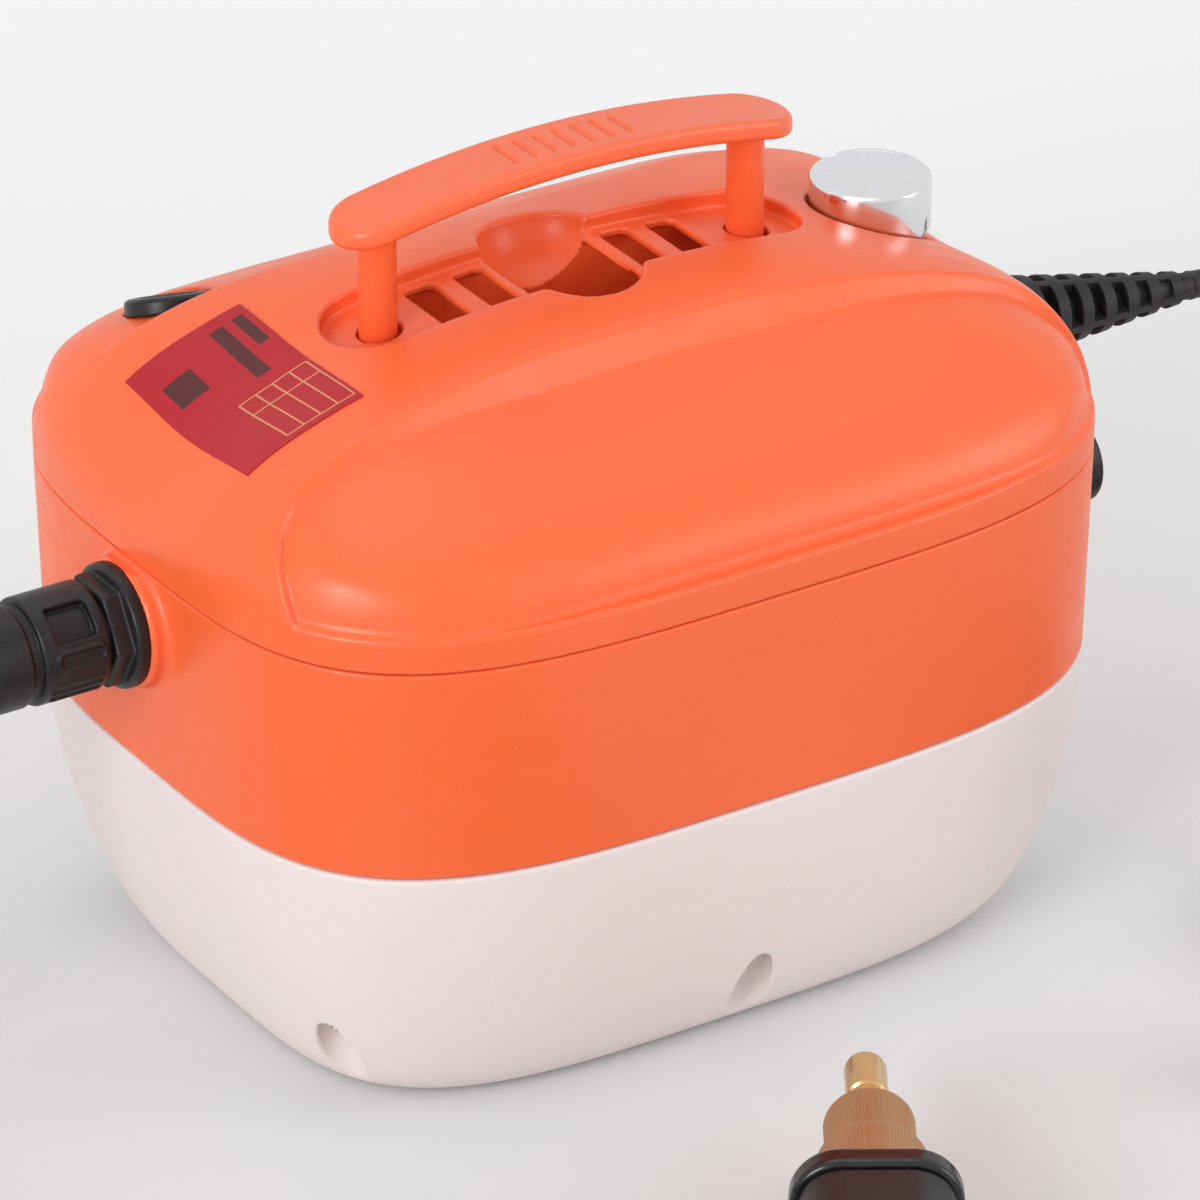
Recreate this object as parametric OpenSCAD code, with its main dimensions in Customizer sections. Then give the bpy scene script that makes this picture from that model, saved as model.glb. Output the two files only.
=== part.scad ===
// Portable steam cleaner: white water tank, orange housing with a pull-up carrying
// handle, control knob, mains lead, steam hose and steam gun.
// X runs along the body (hose end at -X, mains end at +X), Y across it, Z up.
// The origin is the centre of the tank's flat base.

/* [Housing] */
// Length of the body at the parting line
body_l = 270; // [250:1:290]
// Width of the body at the parting line
body_w = 216; // [205:1:230]
// Height of the water tank
tank_h = 82; // [76:1:95]
// Height of the straight band above the tank
band_h = 62; // [58:1:72]
// Height of the domed cover above the band
cover_h = 55; // [52:1:60]
// Wall of the moulded shells
wall = 3; // [2.4:0.1:3.6]
// Squareness of the plan outline
plan_n = 3.6; // [3:0.1:4.2]
// Draw-in of the band from top to bottom
draft = 1.3; // [0.5:0.1:2.5]
// Draw-in of the tank's ends at the base
tank_end_in = 27; // [20:1:32]
// Draw-in of the tank's long sides at the base
tank_side_in = 32; // [26:1:36]
// Diameter of the screw wells under the tank
well_d = 11; // [9:0.5:12]
// Depth of the screw wells
well_depth = 34; // [28:1:40]

/* [Cover] */
// Height of the upright edge of the cover
rim_h = 5; // [4:0.5:7]
// Fullness of the dome
dome_p = 3.1; // [2.7:0.1:3.6]
// Half width of the raised spine at its crease
crease_y = 43; // [40:1:46]
// Fall of the spine from its middle to its creases
spine_sag = 3.8; // [3:0.2:5]
// Height of the side lobe's foot above the parting line
panel_low = 10; // [8:0.5:11]
// Depth of the side lobes below the top of the dome
lobe_drop = 6.5; // [5:0.5:8]
// Fullness of the side lobes
lobe_p = 1.8; // [1.6:0.1:2.2]
// Roundness of the crease between spine and lobe
crease_k = 3; // [2:0.5:5]
// Crown of the spine above the dome along the middle
crown = 2; // [0:0.5:3]

/* [Handle] */
// Distance between the two posts
post_gap = 117; // [110:1:122]
// Diameter of a post
post_d = 10.5; // [9:0.5:13]
// Length of the grip
grip_l = 143; // [138:1:146]
// Width of the grip
grip_w = 23; // [20:0.5:27]
// Thickness of the grip
grip_t = 6; // [5:0.5:10]
// Rise of the grip's arch
grip_arch = 8.25; // [6:0.25:12]
// Travel of the handle from raised to lowered
handle_lift = 25; // [18:1:27]
// Length of the recess that takes the grip
slot_l = 148; // [147:1:154]
// Width of that recess
slot_w = 31; // [29:0.5:33]
// Depth of the recess
slot_depth = 7; // [6:0.5:9]
// Radius of the finger scoop
scoop_r = 17; // [14:0.5:18]

/* [Knob] */
// Diameter of the control knob
knob_d = 34; // [30:0.5:36]
// Place of the knob along the body
knob_x = 100; // [97:0.5:102]
// Height of the knob
knob_h = 16; // [14:0.5:18]
// Diameter of the control shaft
shaft_d = 6; // [5:0.5:7]

/* [Filler] */
// Diameter of the filler cap
cap_d = 24; // [23:0.5:26]
// Height of the filler cap
cap_h = 5.5; // [5:0.5:8]
// Place of the filler along the body
cap_x = -88; // [-91:1:-84]
// Lean of the filler towards the far side
cap_tilt = 23.5; // [20:0.5:27]
// Lean of the filler towards the mains end
cap_lean = 7.5; // [4:0.5:10]

/* [Connections] */
// Depth of the hose connector's axis below the parting line
hose_down = 17; // [15:1:20]
// Diameter of the steam hose
hose_d = 18; // [16:0.5:18.5]
// Diameter of the mains lead
cord_d = 7.5; // [6.5:0.1:7.8]
// Depth of the mains lead below the parting line, where it leaves the body
cord_down = 2; // [1:0.5:4]
// Diameter of the round power switch
switch_d = 22.8; // [21:0.2:24]
// Place of the switch across the end wall
switch_y = -55; // [-58:1:-48]
// Depth of the switch below the parting line
switch_down = 19; // [16:1:24]

/* [Fits] */
// Gap between fixed pieces
fit = 0.15; // [0.1:0.05:0.3]
// Gap between a shaft and its bore
run = 0.08; // [0.05:0.01:0.1]
// Gap around pieces that move freely
free = 0.5; // [0.4:0.1:0.8]

/* [Hidden] */
$fn = 48;
half_l = body_l / 2;
half_w = body_w / 2;
z_part = tank_h + band_h;
z_top = z_part + cover_h;
spine_z = z_top + crown;
hose_z = z_part - hose_down;
cord_z = z_part - cord_down;
switch_z = z_part - switch_down;
ring_n = 60;

// Tank: profile exponents of its ends and sides, and the levels of its loft
tank_end_p = 1.5;
tank_side_p = 2.1;
tank_base_n = 3.8;
tank_steps = 9;
well_places = concat([for (s = [-1, 1]) [0, s * (half_w - 15)]],
    [for (i = [-1, 1], j = [-1, 1]) [i * (half_l - 26), j * (half_w - 47)]]);
well_boss_d = well_d + 6;
tank_screw_d = 4;
gasket_gap = 1.2;

// Cover: outline of the side lobes, samples of its cross-section
panel_l = half_l - 11.5;
panel_w = half_w - 6;
panel_n = 7;
step_slope = 1.7;
outer_cuts = [1, 0.992, 0.97, 0.94, 0.905, 0.88, 0.82, 0.72, 0.56, 0.4, 0.24, 0.1, 0.03];
inner_cuts = [1, 0.93, 0.75, 0.5, 0.25];
lid_screw_places = [for (i = [-1, 1], j = [-1, 1]) [i * (half_l - 50), j * (half_w - 21)]];
lid_post_d = 10;
lid_screw_d = 3.5;
lid_head_z = z_part - 14;

// Handle
tray_z = spine_z - slot_depth;
tray_t = 2.5;
tray_wall = 1.6;
tray_lip = 4;
guide_d = post_d + 5;
guide_z = tray_z - 12;
grip_z = tray_z + 1 + handle_lift;
clip_d = post_d + 3.5;
clip_t = 2;
clip_z = guide_z - clip_t - 0.3;
vent_places = [23.5, 38.5];
vent_w = 9;
vent_l = 27;
vent_r = 2.5;

// Knob and its control
knob_top = z_top - 1.5;
knob_z = knob_top - knob_h;
knob_hole_d = knob_d + 2;
cup_wall = 1.6;
cup_floor = 2;
cup_z = knob_z - 3;
pot_d = 17;
pot_h = 9;
pot_z = cup_z - cup_floor - pot_h;
bush_d = 9;

// Filler: place of its flat seat sunk in the far lobe, and the run of its neck
cap_y = half_w - 47.6;
seat_drop = 2.2;
seat_t = 4;
seat_d = cap_d + 3;
seat_wall = 1.5;
cap_z = z_part + cover_z(cap_x, cap_y) - seat_drop;
neck_d = 14;
neck_bore = 9.5;
drop_d = 13;
neck_up = 3;
neck_down = 12;
elbow_len = 10;
neck_dir = -[cos(cap_tilt) * sin(cap_lean), sin(cap_tilt), cos(cap_tilt) * cos(cap_lean)];
elbow = [cap_x, cap_y, cap_z] + (neck_down + elbow_len) * neck_dir;

// Hose connector, strain relief and switch
connector_r = 15;
boss_out = 5;
thread_in = 13;
connector_x = half_l + boss_out;
connector_end = connector_x + 44;
relief_tilt = 5.4;
relief_l = 82;
relief_r = 10;
relief_ribs = 9;
relief_tip = [half_l + relief_l * cos(relief_tilt), 0, cord_z - relief_l * sin(relief_tilt)];
switch_x = half_l - 2.4;
pad_r = switch_d / 2 + 3.1;
rocker_r = switch_d / 2 - 3.2;
rocker_ball = rocker_r + 1;
pivot_x = switch_x - 5.5;
rocker_tilt = 8;
rocker_pin_r = 1.5;

// Inside: pieces that stand on the band's floor
floor_z = tank_h + wall;
boiler = [80, 46, 44];
boiler_at = [-65, 38 - half_w, floor_z + 10];
pump_frame = [44, 40, 40];
pump_at = [-38, 14, floor_z + 6];
pump_axis = [pump_at[0] + pump_frame[0] / 2, pump_at[1] + pump_frame[1] / 2, pump_at[2] + pump_frame[2] / 2];
pump_stub = 22;
board = [1.6, 64, 52];
board_at = [half_l - 57, 8, floor_z + 8];
suction_at = [pump_axis[0] - pump_frame[0] / 2 - pump_stub - 8, pump_axis[1]];
pipe_d = 7;

// Steam gun: nose at its tip, barrel along its own X, grip towards its own Y
gun_tip = [-1, -151, 22];
gun_turn = 58;
tip_d = 11.5;
tip_l = 29;
nut_d = 24.4;
nut_l = 21;
collar_d = 31;
collar_l = 25;
barrel_x = -(tip_l + nut_l + collar_l);
bezel = [8, 48, 44];
bezel_r = 14;
barrel = [104, 44, 40];
grip_end = [-190, 118];
grip_rake = 15;
grip_nut_l = 16;
grip_size = [36, 32, 13];
trigger_pivot = [-160, 36];
trigger_t = 13;
trigger_pin_d = 4;

// Mains lead: hand-laid route from the strain relief, then a coil in two layers
relief_dir = [cos(relief_tilt), 0, -sin(relief_tilt)];
cord_route = [relief_tip, relief_tip + 16 * relief_dir, [250, -5, 125], [262, -17, 110], [266, -34, 90], [265, -53, 68],
    [261, -72, 47], [256, -92, 28], [251.5, -111, 13.5], [249, -129, 5.8]];
cord_coil_c = [195, -145];
cord_coil_r = 53;
cord_pitch = 8.2;
cord_low = 5;
strap_t = 1;
strap_gap = 0.2;
cord_in_turns = 2.5;
cord_out_turns = 2.25;
plug_at = [158, -197, 14];
plug_l = 45;

// Steam hose: hand-laid lead, one and a half flat turns, and the tail to the gun
hose_route = [[-connector_end, 0, hose_z], [-connector_end - 20, 0, hose_z], [-232, 0, 121], [-258, -1, 104], [-280, -1, 81],
    [-302, -2, 57.5], [-326, -3, 37.5], [-346, -3.2, 24]];
hose_coil_c = [-361, -85.5];
hose_coil_r = 82;
hose_pitch = 19.5;
hose_low = 10.2;
hose_drop = 8;
hose_turn = 523;
hose_tail = [[-355, -202.7, 10.2], [-317, -214.3, 11], [-279, -226, 15], [-246, -236, 20]];
rib_pitch = 9;
rib_deep = 1.5;
hose_bore_r = hose_d / 2 - 3;

// Shape functions

function sgnpow(v, e) = sign(v) * pow(abs(v), e);

// Plan outline of the body as a ring of points at height z
function plan_ring(a, b, n, z) = [for (i = [0:ring_n - 1]) let (t = (i + 0.5) * 360 / ring_n)
    [a * sgnpow(cos(t), 2 / n), b * sgnpow(sin(t), 2 / n), z]];

// Draw-in of the tank wall at a share u of its depth
function draw_in(u, most, p) = most * (1 - pow(1 - pow(u, p), 1 / p));

// Soft minimum of two heights, rounded over k
function soft_min(a, b, k) = let (h = min(1, max(0, 0.5 + 0.5 * (b - a) / k))) b * (1 - h) + a * h - k * h * (1 - h);

// Height of the full dome above the parting line, falling from the middle of the spine to its creases
function dome(x, y) = let (r = min(1, pow(abs(x) / half_l, plan_n) + pow(abs(y) / half_w, plan_n)),
    sag = spine_sag * min(1.4, pow(y / (crease_y + 5), 2)))
    rim_h + (cover_h - rim_h - sag) * pow(1 - pow(r, dome_p / plan_n), 1 / dome_p);

// Half width of the spine, wider towards its ends
function spine_y(x) = crease_y + 3 + 0.06 * (norm([x, 30]) - 30) + 10 * pow(max(0, (abs(x) - half_l + 23) / 15), 2);

// Height of the round side lobe, with the step up to the spine
function panel(x, y) = let (r = min(1, pow(abs(x) / panel_l, panel_n) + pow(abs(y) / panel_w, panel_n)))
    panel_low + (cover_h - panel_low - lobe_drop) * sqrt(1 - pow(r, lobe_p / panel_n))
    + step_slope * max(0, spine_y(x) - abs(y));

// Height of the moulded cover above the parting line
function cover_z(x, y) = soft_min(dome(x, y), panel(x, y), crease_k)
    + crown * max(0, 1 - pow(y / crease_y, 2)) * max(0, 1 - pow(x / (half_l - 40), 6));

// Points of a smooth curve through a route, m steps to each stretch
function curve(p, m) = let (n = len(p)) [for (i = [0:n - 2], j = [0:m - 1])
    let (t = j / m, a = p[max(0, i - 1)], b = p[i], c = p[i + 1], d = p[min(n - 1, i + 2)])
    (2 * b + (c - a) * t + (2 * a - 5 * b + 4 * c - d) * t * t + (3 * b - a - 3 * c + d) * t * t * t) / 2, p[n - 1]];

// Running length at each point of a path
function lengths(p, i = 0, s = 0) = i >= len(p) ? [] :
    let (d = i == 0 ? 0 : norm(p[i] - p[i - 1])) concat([s + d], lengths(p, i + 1, s + d));

// Point and direction of a path at a running length
function at_length(p, l, s) = [for (k = [0:2]) lookup(s, [for (i = [0:len(p) - 1]) [l[i], p[i][k]]])];
function heading(p, l, s) = let (d = at_length(p, l, s + 0.5) - at_length(p, l, s - 0.5)) d / norm(d);

// Ring of points square to a direction
function round_ring(c, d, r, sides) = let (u = cross(d, [0, 0, 1]), v = u / norm(u), w = cross(v, d))
    [for (k = [0:sides - 1]) c + r * (cos(360 * k / sides) * v + sin(360 * k / sides) * w)];

// Ring of points square to a direction that runs across the body
function side_ring(c, d, r, sides) = let (u = cross([1, 0, 0], d), w = u / norm(u), v = cross(d, w))
    [for (k = [0:sides - 1]) c + r * (cos(360 * k / sides) * v + sin(360 * k / sides) * w)];

// Least gap of a tube to itself, between points further apart along it than far
function self_gap(p, l, d, far) = min([for (i = [0:len(p) - 1], j = [i + 1:1:len(p) - 1])
    if (l[j] - l[i] > far) norm(p[i] - p[j])]) - d;

// Closed solid through a stack of rings of equal count
module loft(rings) {
    n = len(rings[0]);
    m = len(rings);
    sides = [for (j = [0:m - 2], i = [0:n - 1]) let (a = j * n + i, b = j * n + (i + 1) % n)
        each [[a, a + n, b], [b, a + n, b + n]]];
    polyhedron([for (r = rings) each r],
        concat([[for (i = [0:n - 1]) i]], sides, [[for (i = [n - 1:-1:0]) (m - 1) * n + i]]));
}

// Closed pipe between a stack of outer rings and a stack of inner rings
module pipe_loft(outer, inner) {
    n = len(outer[0]);
    rings = concat(outer, [for (i = [len(inner) - 1:-1:0]) inner[i]]);
    m = len(rings);
    faces = [for (j = [0:m - 1], i = [0:n - 1])
        let (a = j * n + i, b = j * n + (i + 1) % n, c = ((j + 1) % m) * n + i, d = ((j + 1) % m) * n + (i + 1) % n)
        each [[a, c, b], [b, c, d]]];
    polyhedron([for (r = rings) each r], faces);
}

// Plain round tube along a path
module cord_tube(p, d, sides) {
    l = lengths(p);
    loft([for (i = [0:len(p) - 1]) round_ring(p[i], heading(p, l, min(max(l[i], 0.5), l[len(l) - 1] - 0.5)), d / 2, sides)]);
}

// Bar with round ends, standing on z = 0
module stadium(l, w, h) {
    linear_extrude(h) union() {
        square([l - w, w], center = true);
        for (s = [-1, 1]) translate([s * (l - w) / 2, 0]) circle(d = w);
    }
}

// Finger scoop: a trough with ball ends across the recess
module scoop(r) {
    translate([0, 0, spine_z]) {
        rotate([90, 0, 0]) cylinder(r = r, h = slot_w - 6, center = true);
        for (s = [-1, 1]) translate([0, s * (slot_w / 2 - 3), 0]) sphere(r = r);
    }
}

module at_filler() {
    translate([cap_x, cap_y, cap_z]) rotate([-cap_tilt, cap_lean, 0]) children();
}

module at_relief() {
    translate([half_l, 0, cord_z]) rotate([0, 90 + relief_tilt, 0]) children();
}

module at_connector() {
    translate([0, 0, hose_z]) rotate([0, -90, 0]) children();
}

module at_switch() {
    translate([0, switch_y, switch_z]) rotate([0, 90, 0]) children();
}

module at_gun() {
    translate(gun_tip) rotate(gun_turn) children();
}

// Housing

// Solid inside the tank's outer or inner surface
module tank_solid(inset, base, over) {
    a = half_l - draft - inset;
    b = half_w - draft - inset;
    levels = [for (k = [tank_steps:-1:0]) pow(sin(90 * k / tank_steps), 0.8)];
    rings = [for (u = levels) plan_ring(a - draw_in(u, tank_end_in, tank_end_p), b - draw_in(u, tank_side_in, tank_side_p),
        plan_n + (tank_base_n - plan_n) * u, base + (tank_h - base) * (1 - u))];
    loft(over > 0 ? concat(rings, [plan_ring(a, b, plan_n, tank_h + over)]) : rings);
}

module water_tank() {
    color("#ece0dc") difference() {
        tank_solid(0, 0, 0);
        difference() {
            tank_solid(wall, wall, 1);
            for (p = well_places) translate([p[0], p[1], -1]) cylinder(d = well_boss_d, h = tank_h + 1);
        }
        for (p = well_places) translate([p[0], p[1], -1]) {
            cylinder(d = well_d, h = well_depth + 1);
            cylinder(d = tank_screw_d + 1, h = tank_h + 3);
        }
    }
}

module tank_gasket() {
    a = half_l - draft - wall - gasket_gap;
    b = half_w - draft - wall - gasket_gap;
    color("#333333") translate([0, 0, tank_h - 6]) linear_extrude(6) difference() {
        polygon([for (q = plan_ring(a, b, plan_n, 0)) [q[0], q[1]]]);
        polygon([for (q = plan_ring(a - 3.5, b - 3.5, plan_n, 0)) [q[0], q[1]]]);
        for (p = well_places) translate(p) circle(d = well_boss_d + 2 * fit);
    }
}

module tank_screws() {
    color("silver") for (p = well_places) translate([p[0], p[1], well_depth - 4]) {
        cylinder(d = well_d - 2, h = 4);
        cylinder(d = tank_screw_d, h = tank_h - well_depth + 16);
    }
}

module mid_body() {
    a = half_l;
    b = half_w;
    color("#f4713f") difference() {
        union() {
            loft([plan_ring(a - draft, b - draft, plan_n, tank_h), plan_ring(a, b, plan_n, z_part)]);
            intersection() {
                at_connector() translate([0, 0, half_l - 8]) cylinder(r = connector_r + 3, h = boss_out + 8);
                translate([-body_l, -half_w, 0]) cube([body_l, body_w, z_part - fit]);
            }
            at_switch() translate([0, 0, switch_x - 14]) cylinder(r = pad_r, h = 14);
        }
        difference() {
            loft([plan_ring(a - draft - wall, b - draft - wall, plan_n, floor_z), plan_ring(a - wall, b - wall, plan_n, z_part),
                plan_ring(a - wall, b - wall, plan_n, z_part + 1)]);
            for (p = well_places) translate([p[0], p[1], tank_h]) cylinder(d = 12, h = 18);
            for (p = lid_screw_places) translate([p[0], p[1], tank_h]) cylinder(d = lid_post_d, h = band_h);
        }
        for (p = well_places) translate([p[0], p[1], tank_h - 1]) cylinder(d = tank_screw_d + 2 * run, h = 16);
        for (p = lid_screw_places) translate([p[0], p[1], tank_h - 1]) {
            cylinder(d = lid_post_d - 3, h = lid_head_z - tank_h + 1);
            cylinder(d = lid_screw_d + 1, h = band_h + 2);
        }
        at_connector() translate([0, 0, half_l - 20]) cylinder(r = connector_r - 4 + fit, h = 40);
        at_switch() translate([0, 0, switch_x - 30]) cylinder(r = switch_d / 2 + fit, h = 60);
        at_switch() translate([0, 0, switch_x]) cylinder(r = switch_d / 2 + 2.3, h = 30);
        at_relief() translate([0, 0, -20]) cylinder(r = relief_r - 1 + fit, h = 40);
        translate([elbow[0], elbow[1], tank_h - 1]) cylinder(d = drop_d + 2 * fit, h = wall + 2);
        translate([suction_at[0], suction_at[1], tank_h - 1]) cylinder(d = pipe_d + 2 * fit, h = wall + 2);
    }
}

module cover_screws() {
    color("silver") for (p = lid_screw_places) translate([p[0], p[1], lid_head_z - 3]) {
        cylinder(d = lid_post_d - 3.6, h = 3);
        cylinder(d = lid_screw_d, h = 3 + z_part - lid_head_z + 6);
    }
}

// Cross-section of the cover at a place along it, as a closed ring
function cover_ring(x, y, foot, cuts, shrink, drop) = let (
    c = min(spine_y(x), 0.6 * y),
    half = concat([for (f = cuts) c + (y - c) * f], [c * 0.97, c * 0.925, c * 0.8, c * 0.6, c * 0.35]),
    across = concat(half, [0], [for (i = [len(half) - 1:-1:0]) -half[i]]))
    concat([[x, -y, foot], [x, y, foot]],
        [for (v = across) [x, v, z_part + cover_z(x * shrink[0], v * shrink[1]) - drop]]);

// Solid under the cover's outer or inner surface
module cover_solid(inset, foot, cuts) {
    a = half_l - inset;
    b = half_w - inset;
    loft([for (i = [ring_n / 2 - 1:-1:0]) let (t = (i + 0.5) * 360 / ring_n)
        cover_ring(a * sgnpow(cos(t), 2 / plan_n), b * sgnpow(sin(t), 2 / plan_n), foot, cuts,
            [half_l / a, half_w / b], inset)]);
}

module top_cover() {
    color("#fb7548") difference() {
        cover_solid(0, z_part, outer_cuts);
        difference() {
            cover_solid(wall, z_part - 1, inner_cuts);
            at_filler() translate([0, 0, -seat_t]) cylinder(d = seat_d + 2 * seat_wall, h = cover_h);
            for (p = lid_screw_places) translate([p[0], p[1], z_part]) cylinder(d = lid_post_d, h = cover_h);
            translate([knob_x, 0, cup_z - cup_floor]) cylinder(d = knob_hole_d + 2 * cup_wall, h = cover_h);
        }
        for (p = lid_screw_places) translate([p[0], p[1], z_part - 1]) cylinder(d = lid_screw_d + 2 * run, h = 7.5);
        translate([0, 0, z_part + 20]) stadium(slot_l, slot_w, cover_h + crown);
        scoop(scoop_r);
        translate([knob_x, 0, cup_z]) cylinder(d = knob_hole_d, h = cover_h);
        translate([knob_x, 0, cup_z - 10]) cylinder(d = bush_d + 2 * fit, h = 20);
        at_filler() cylinder(d = seat_d, h = 30);
        at_filler() translate([0, 0, -40]) cylinder(d = neck_d + 2 * fit, h = 80);
        at_relief() translate([0, 0, -20]) cylinder(r = relief_r - 1 + fit, h = 40);
    }
}

// Recess insert: floor, side wall, vent slots, post guides and finger scoop in one moulding
module handle_tray() {
    color("#e8683f") difference() {
        union() {
            translate([0, 0, tray_z - tray_t]) stadium(slot_l - 2 * fit, slot_w - 2 * fit, tray_t + 2.5);
            translate([0, 0, tray_z - tray_t]) stadium(slot_l + 2 * tray_lip, slot_w + 2 * tray_lip, tray_t - 1);
            for (s = [-1, 1]) translate([s * post_gap / 2, 0, guide_z]) cylinder(d = guide_d, h = tray_z - guide_z - 1);
            intersection() {
                scoop(scoop_r + tray_wall);
                translate([-50, -50, spine_z - scoop_r - 5]) cube([100, 100, scoop_r + 5 - wall - 2.4 - crown]);
            }
        }
        translate([0, 0, tray_z]) stadium(slot_l - 2 * tray_wall, slot_w - 2 * tray_wall, 20);
        scoop(scoop_r);
        for (s = [-1, 1]) {
            translate([s * post_gap / 2, 0, guide_z - 1]) cylinder(d = post_d + 2 * run, h = 30);
            for (v = vent_places) translate([s * v, 0, tray_z - tray_t - 1]) linear_extrude(10) round_rect(vent_w, vent_l, vent_r);
        }
    }
}

// Height of the grip's underside above its ends
function grip_rise(x) = grip_arch * (1 - pow(2 * x / grip_l, 2));
post_top = grip_z + grip_rise(post_gap / 2) + grip_t / 2;

module handle_grip() {
    steps = 24;
    xs = [for (i = [0:steps]) grip_l * (i / steps - 0.5)];
    color("#fb7548") difference() {
        intersection() {
            translate([0, 0, grip_z]) stadium(grip_l, grip_w, grip_t + grip_arch);
            translate([0, grip_w, grip_z]) rotate([90, 0, 0]) linear_extrude(2 * grip_w) polygon(concat(
                [for (x = xs) [x, grip_rise(x)]], [for (i = [steps:-1:0]) [xs[i], grip_t + grip_rise(xs[i])]]));
        }
        for (s = [-1, 1]) translate([s * post_gap / 2, 0, grip_z - 1]) cylinder(d = post_d + 0.04, h = post_top - grip_z + 1);
    }
}

module handle_posts() {
    color("#f0683c") for (s = [-1, 1]) translate([s * post_gap / 2, 0, clip_z + clip_t])
        cylinder(d = post_d, h = post_top - clip_z - clip_t);
}

module post_clips() {
    color("dimgray") for (s = [-1, 1]) translate([s * post_gap / 2, 0, clip_z - 3]) {
        translate([0, 0, 3]) cylinder(d = clip_d, h = clip_t);
        cylinder(d = post_d - 4, h = 3);
    }
}

// Control

module control_knob() {
    color("#d9dade") translate([knob_x, 0, knob_z]) difference() {
        rotate_extrude() polygon([[0, 0], [knob_d / 2, 0], [knob_d / 2, knob_h - 1], [knob_d / 2 - 0.8, knob_h], [0, knob_h]]);
        translate([0, 0, -1]) cylinder(d = shaft_d + 0.04, h = knob_h - 4);
        translate([0, 0, -1]) difference() {
            cylinder(d = knob_d - 4, h = 5);
            cylinder(d = shaft_d + 8, h = 6);
        }
    }
}

module control_shaft() {
    color("silver") translate([knob_x, 0, pot_z + 2]) cylinder(d = shaft_d, h = knob_z - pot_z + 8);
}

module potentiometer() {
    color("#3b6e4a") translate([knob_x, 0, pot_z]) difference() {
        union() {
            cylinder(d = pot_d, h = pot_h);
            cylinder(d = bush_d, h = pot_h + cup_floor + 1.5);
            translate([-pot_d / 2 - 6, -5, 1]) cube([pot_d / 2 + 2, 10, 2]);
        }
        translate([0, 0, 1]) cylinder(d = shaft_d + 2 * run, h = 40);
    }
}

// Nut that holds the control under the floor of its well
module control_nut() {
    color("silver") translate([knob_x, 0, pot_z + pot_h + cup_floor]) difference() {
        cylinder(d = bush_d + 5, h = 2, $fn = 6);
        translate([0, 0, -1]) cylinder(d = bush_d + 0.04, h = 4);
    }
}

// Filler

module filler_neck() {
    color("#2f2c2d") at_filler() difference() {
        union() {
            translate([0, 0, -neck_down]) cylinder(d = neck_d, h = neck_down + neck_up);
            cylinder(d = neck_d + 5, h = 1);
        }
        translate([0, 0, -neck_down - 1]) cylinder(d = neck_bore, h = 60);
    }
}

module filler_cap() {
    ribs = 20;
    inner = neck_d + 5 + 2 * free;
    color("#2b282a") at_filler() translate([0, 0, 0.4]) difference() {
        rotate_extrude() polygon([[0, 0], [cap_d / 2, 0], [cap_d / 2, cap_h - 1.5], [cap_d / 2 - 1.5, cap_h], [0, cap_h]]);
        translate([0, 0, -1]) cylinder(d = inner, h = neck_up + 1.8);
        for (k = [0:ribs - 1]) rotate(360 * k / ribs) translate([cap_d / 2 + 0.6, 0, -1]) cylinder(r = 1.3, h = cap_h + 2);
    }
}

module cap_gasket() {
    color("#555555") at_filler() translate([0, 0, neck_up + 0.1]) difference() {
        cylinder(d = neck_d, h = 1.1);
        translate([0, 0, -1]) cylinder(d = neck_bore, h = 4);
    }
}

module filler_tube() {
    start = [cap_x, cap_y, cap_z] + neck_down * neck_dir;
    route = [start, start + 4 * neck_dir, elbow + [0, 1, -1], elbow - [0, 0, 14], [elbow[0], elbow[1], tank_h - 2]];
    headings = [neck_dir, neck_dir, (neck_dir + [0, 0, -1]) / norm(neck_dir + [0, 0, -1]), [0, 0, -1], [0, 0, -1]];
    color("#8a8a8a") pipe_loft([for (i = [0:4]) side_ring(route[i], headings[i], drop_d / 2, 20)],
        [for (i = [0:4]) side_ring(route[i], headings[i], neck_bore / 2, 20)]);
}

// Power switch

module switch_housing() {
    color("#2b2a2b") difference() {
        at_switch() {
            translate([0, 0, switch_x - 22]) cylinder(d = switch_d, h = 22);
            translate([0, 0, switch_x]) cylinder(d = switch_d + 3.6, h = 2);
        }
        at_switch() translate([0, 0, pivot_x - rocker_ball - 1]) cylinder(r = rocker_ball + 0.4, h = rocker_ball + 5.5);
        at_switch() translate([0, 0, pivot_x]) cylinder(r = rocker_r + 0.7, h = 30);
        translate([pivot_x, switch_y, switch_z]) rotate([90, 0, 0])
            cylinder(r = rocker_pin_r + run, h = switch_d - 0.6, center = true);
    }
}

module power_rocker() {
    rise = sqrt(rocker_ball * rocker_ball - rocker_r * rocker_r);
    low = asin(rise / rocker_ball);
    color("#232122") translate([pivot_x, switch_y, switch_z]) rotate([0, -rocker_tilt, 0]) {
        rotate([0, 90, 0]) rotate_extrude() polygon(concat([[0, -3], [rocker_r, -3]],
            [for (k = [0:6]) let (a = low + (90 - low) * k / 6) [rocker_ball * cos(a), rocker_ball * sin(a)]]));
        for (s = [-1, 1]) rotate([-90 * s, 0, 0]) translate([0, 0, rocker_r - 2])
            cylinder(r = rocker_pin_r, h = switch_d / 2 - 0.6 - rocker_r + 2);
    }
}

// Steam plant

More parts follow.
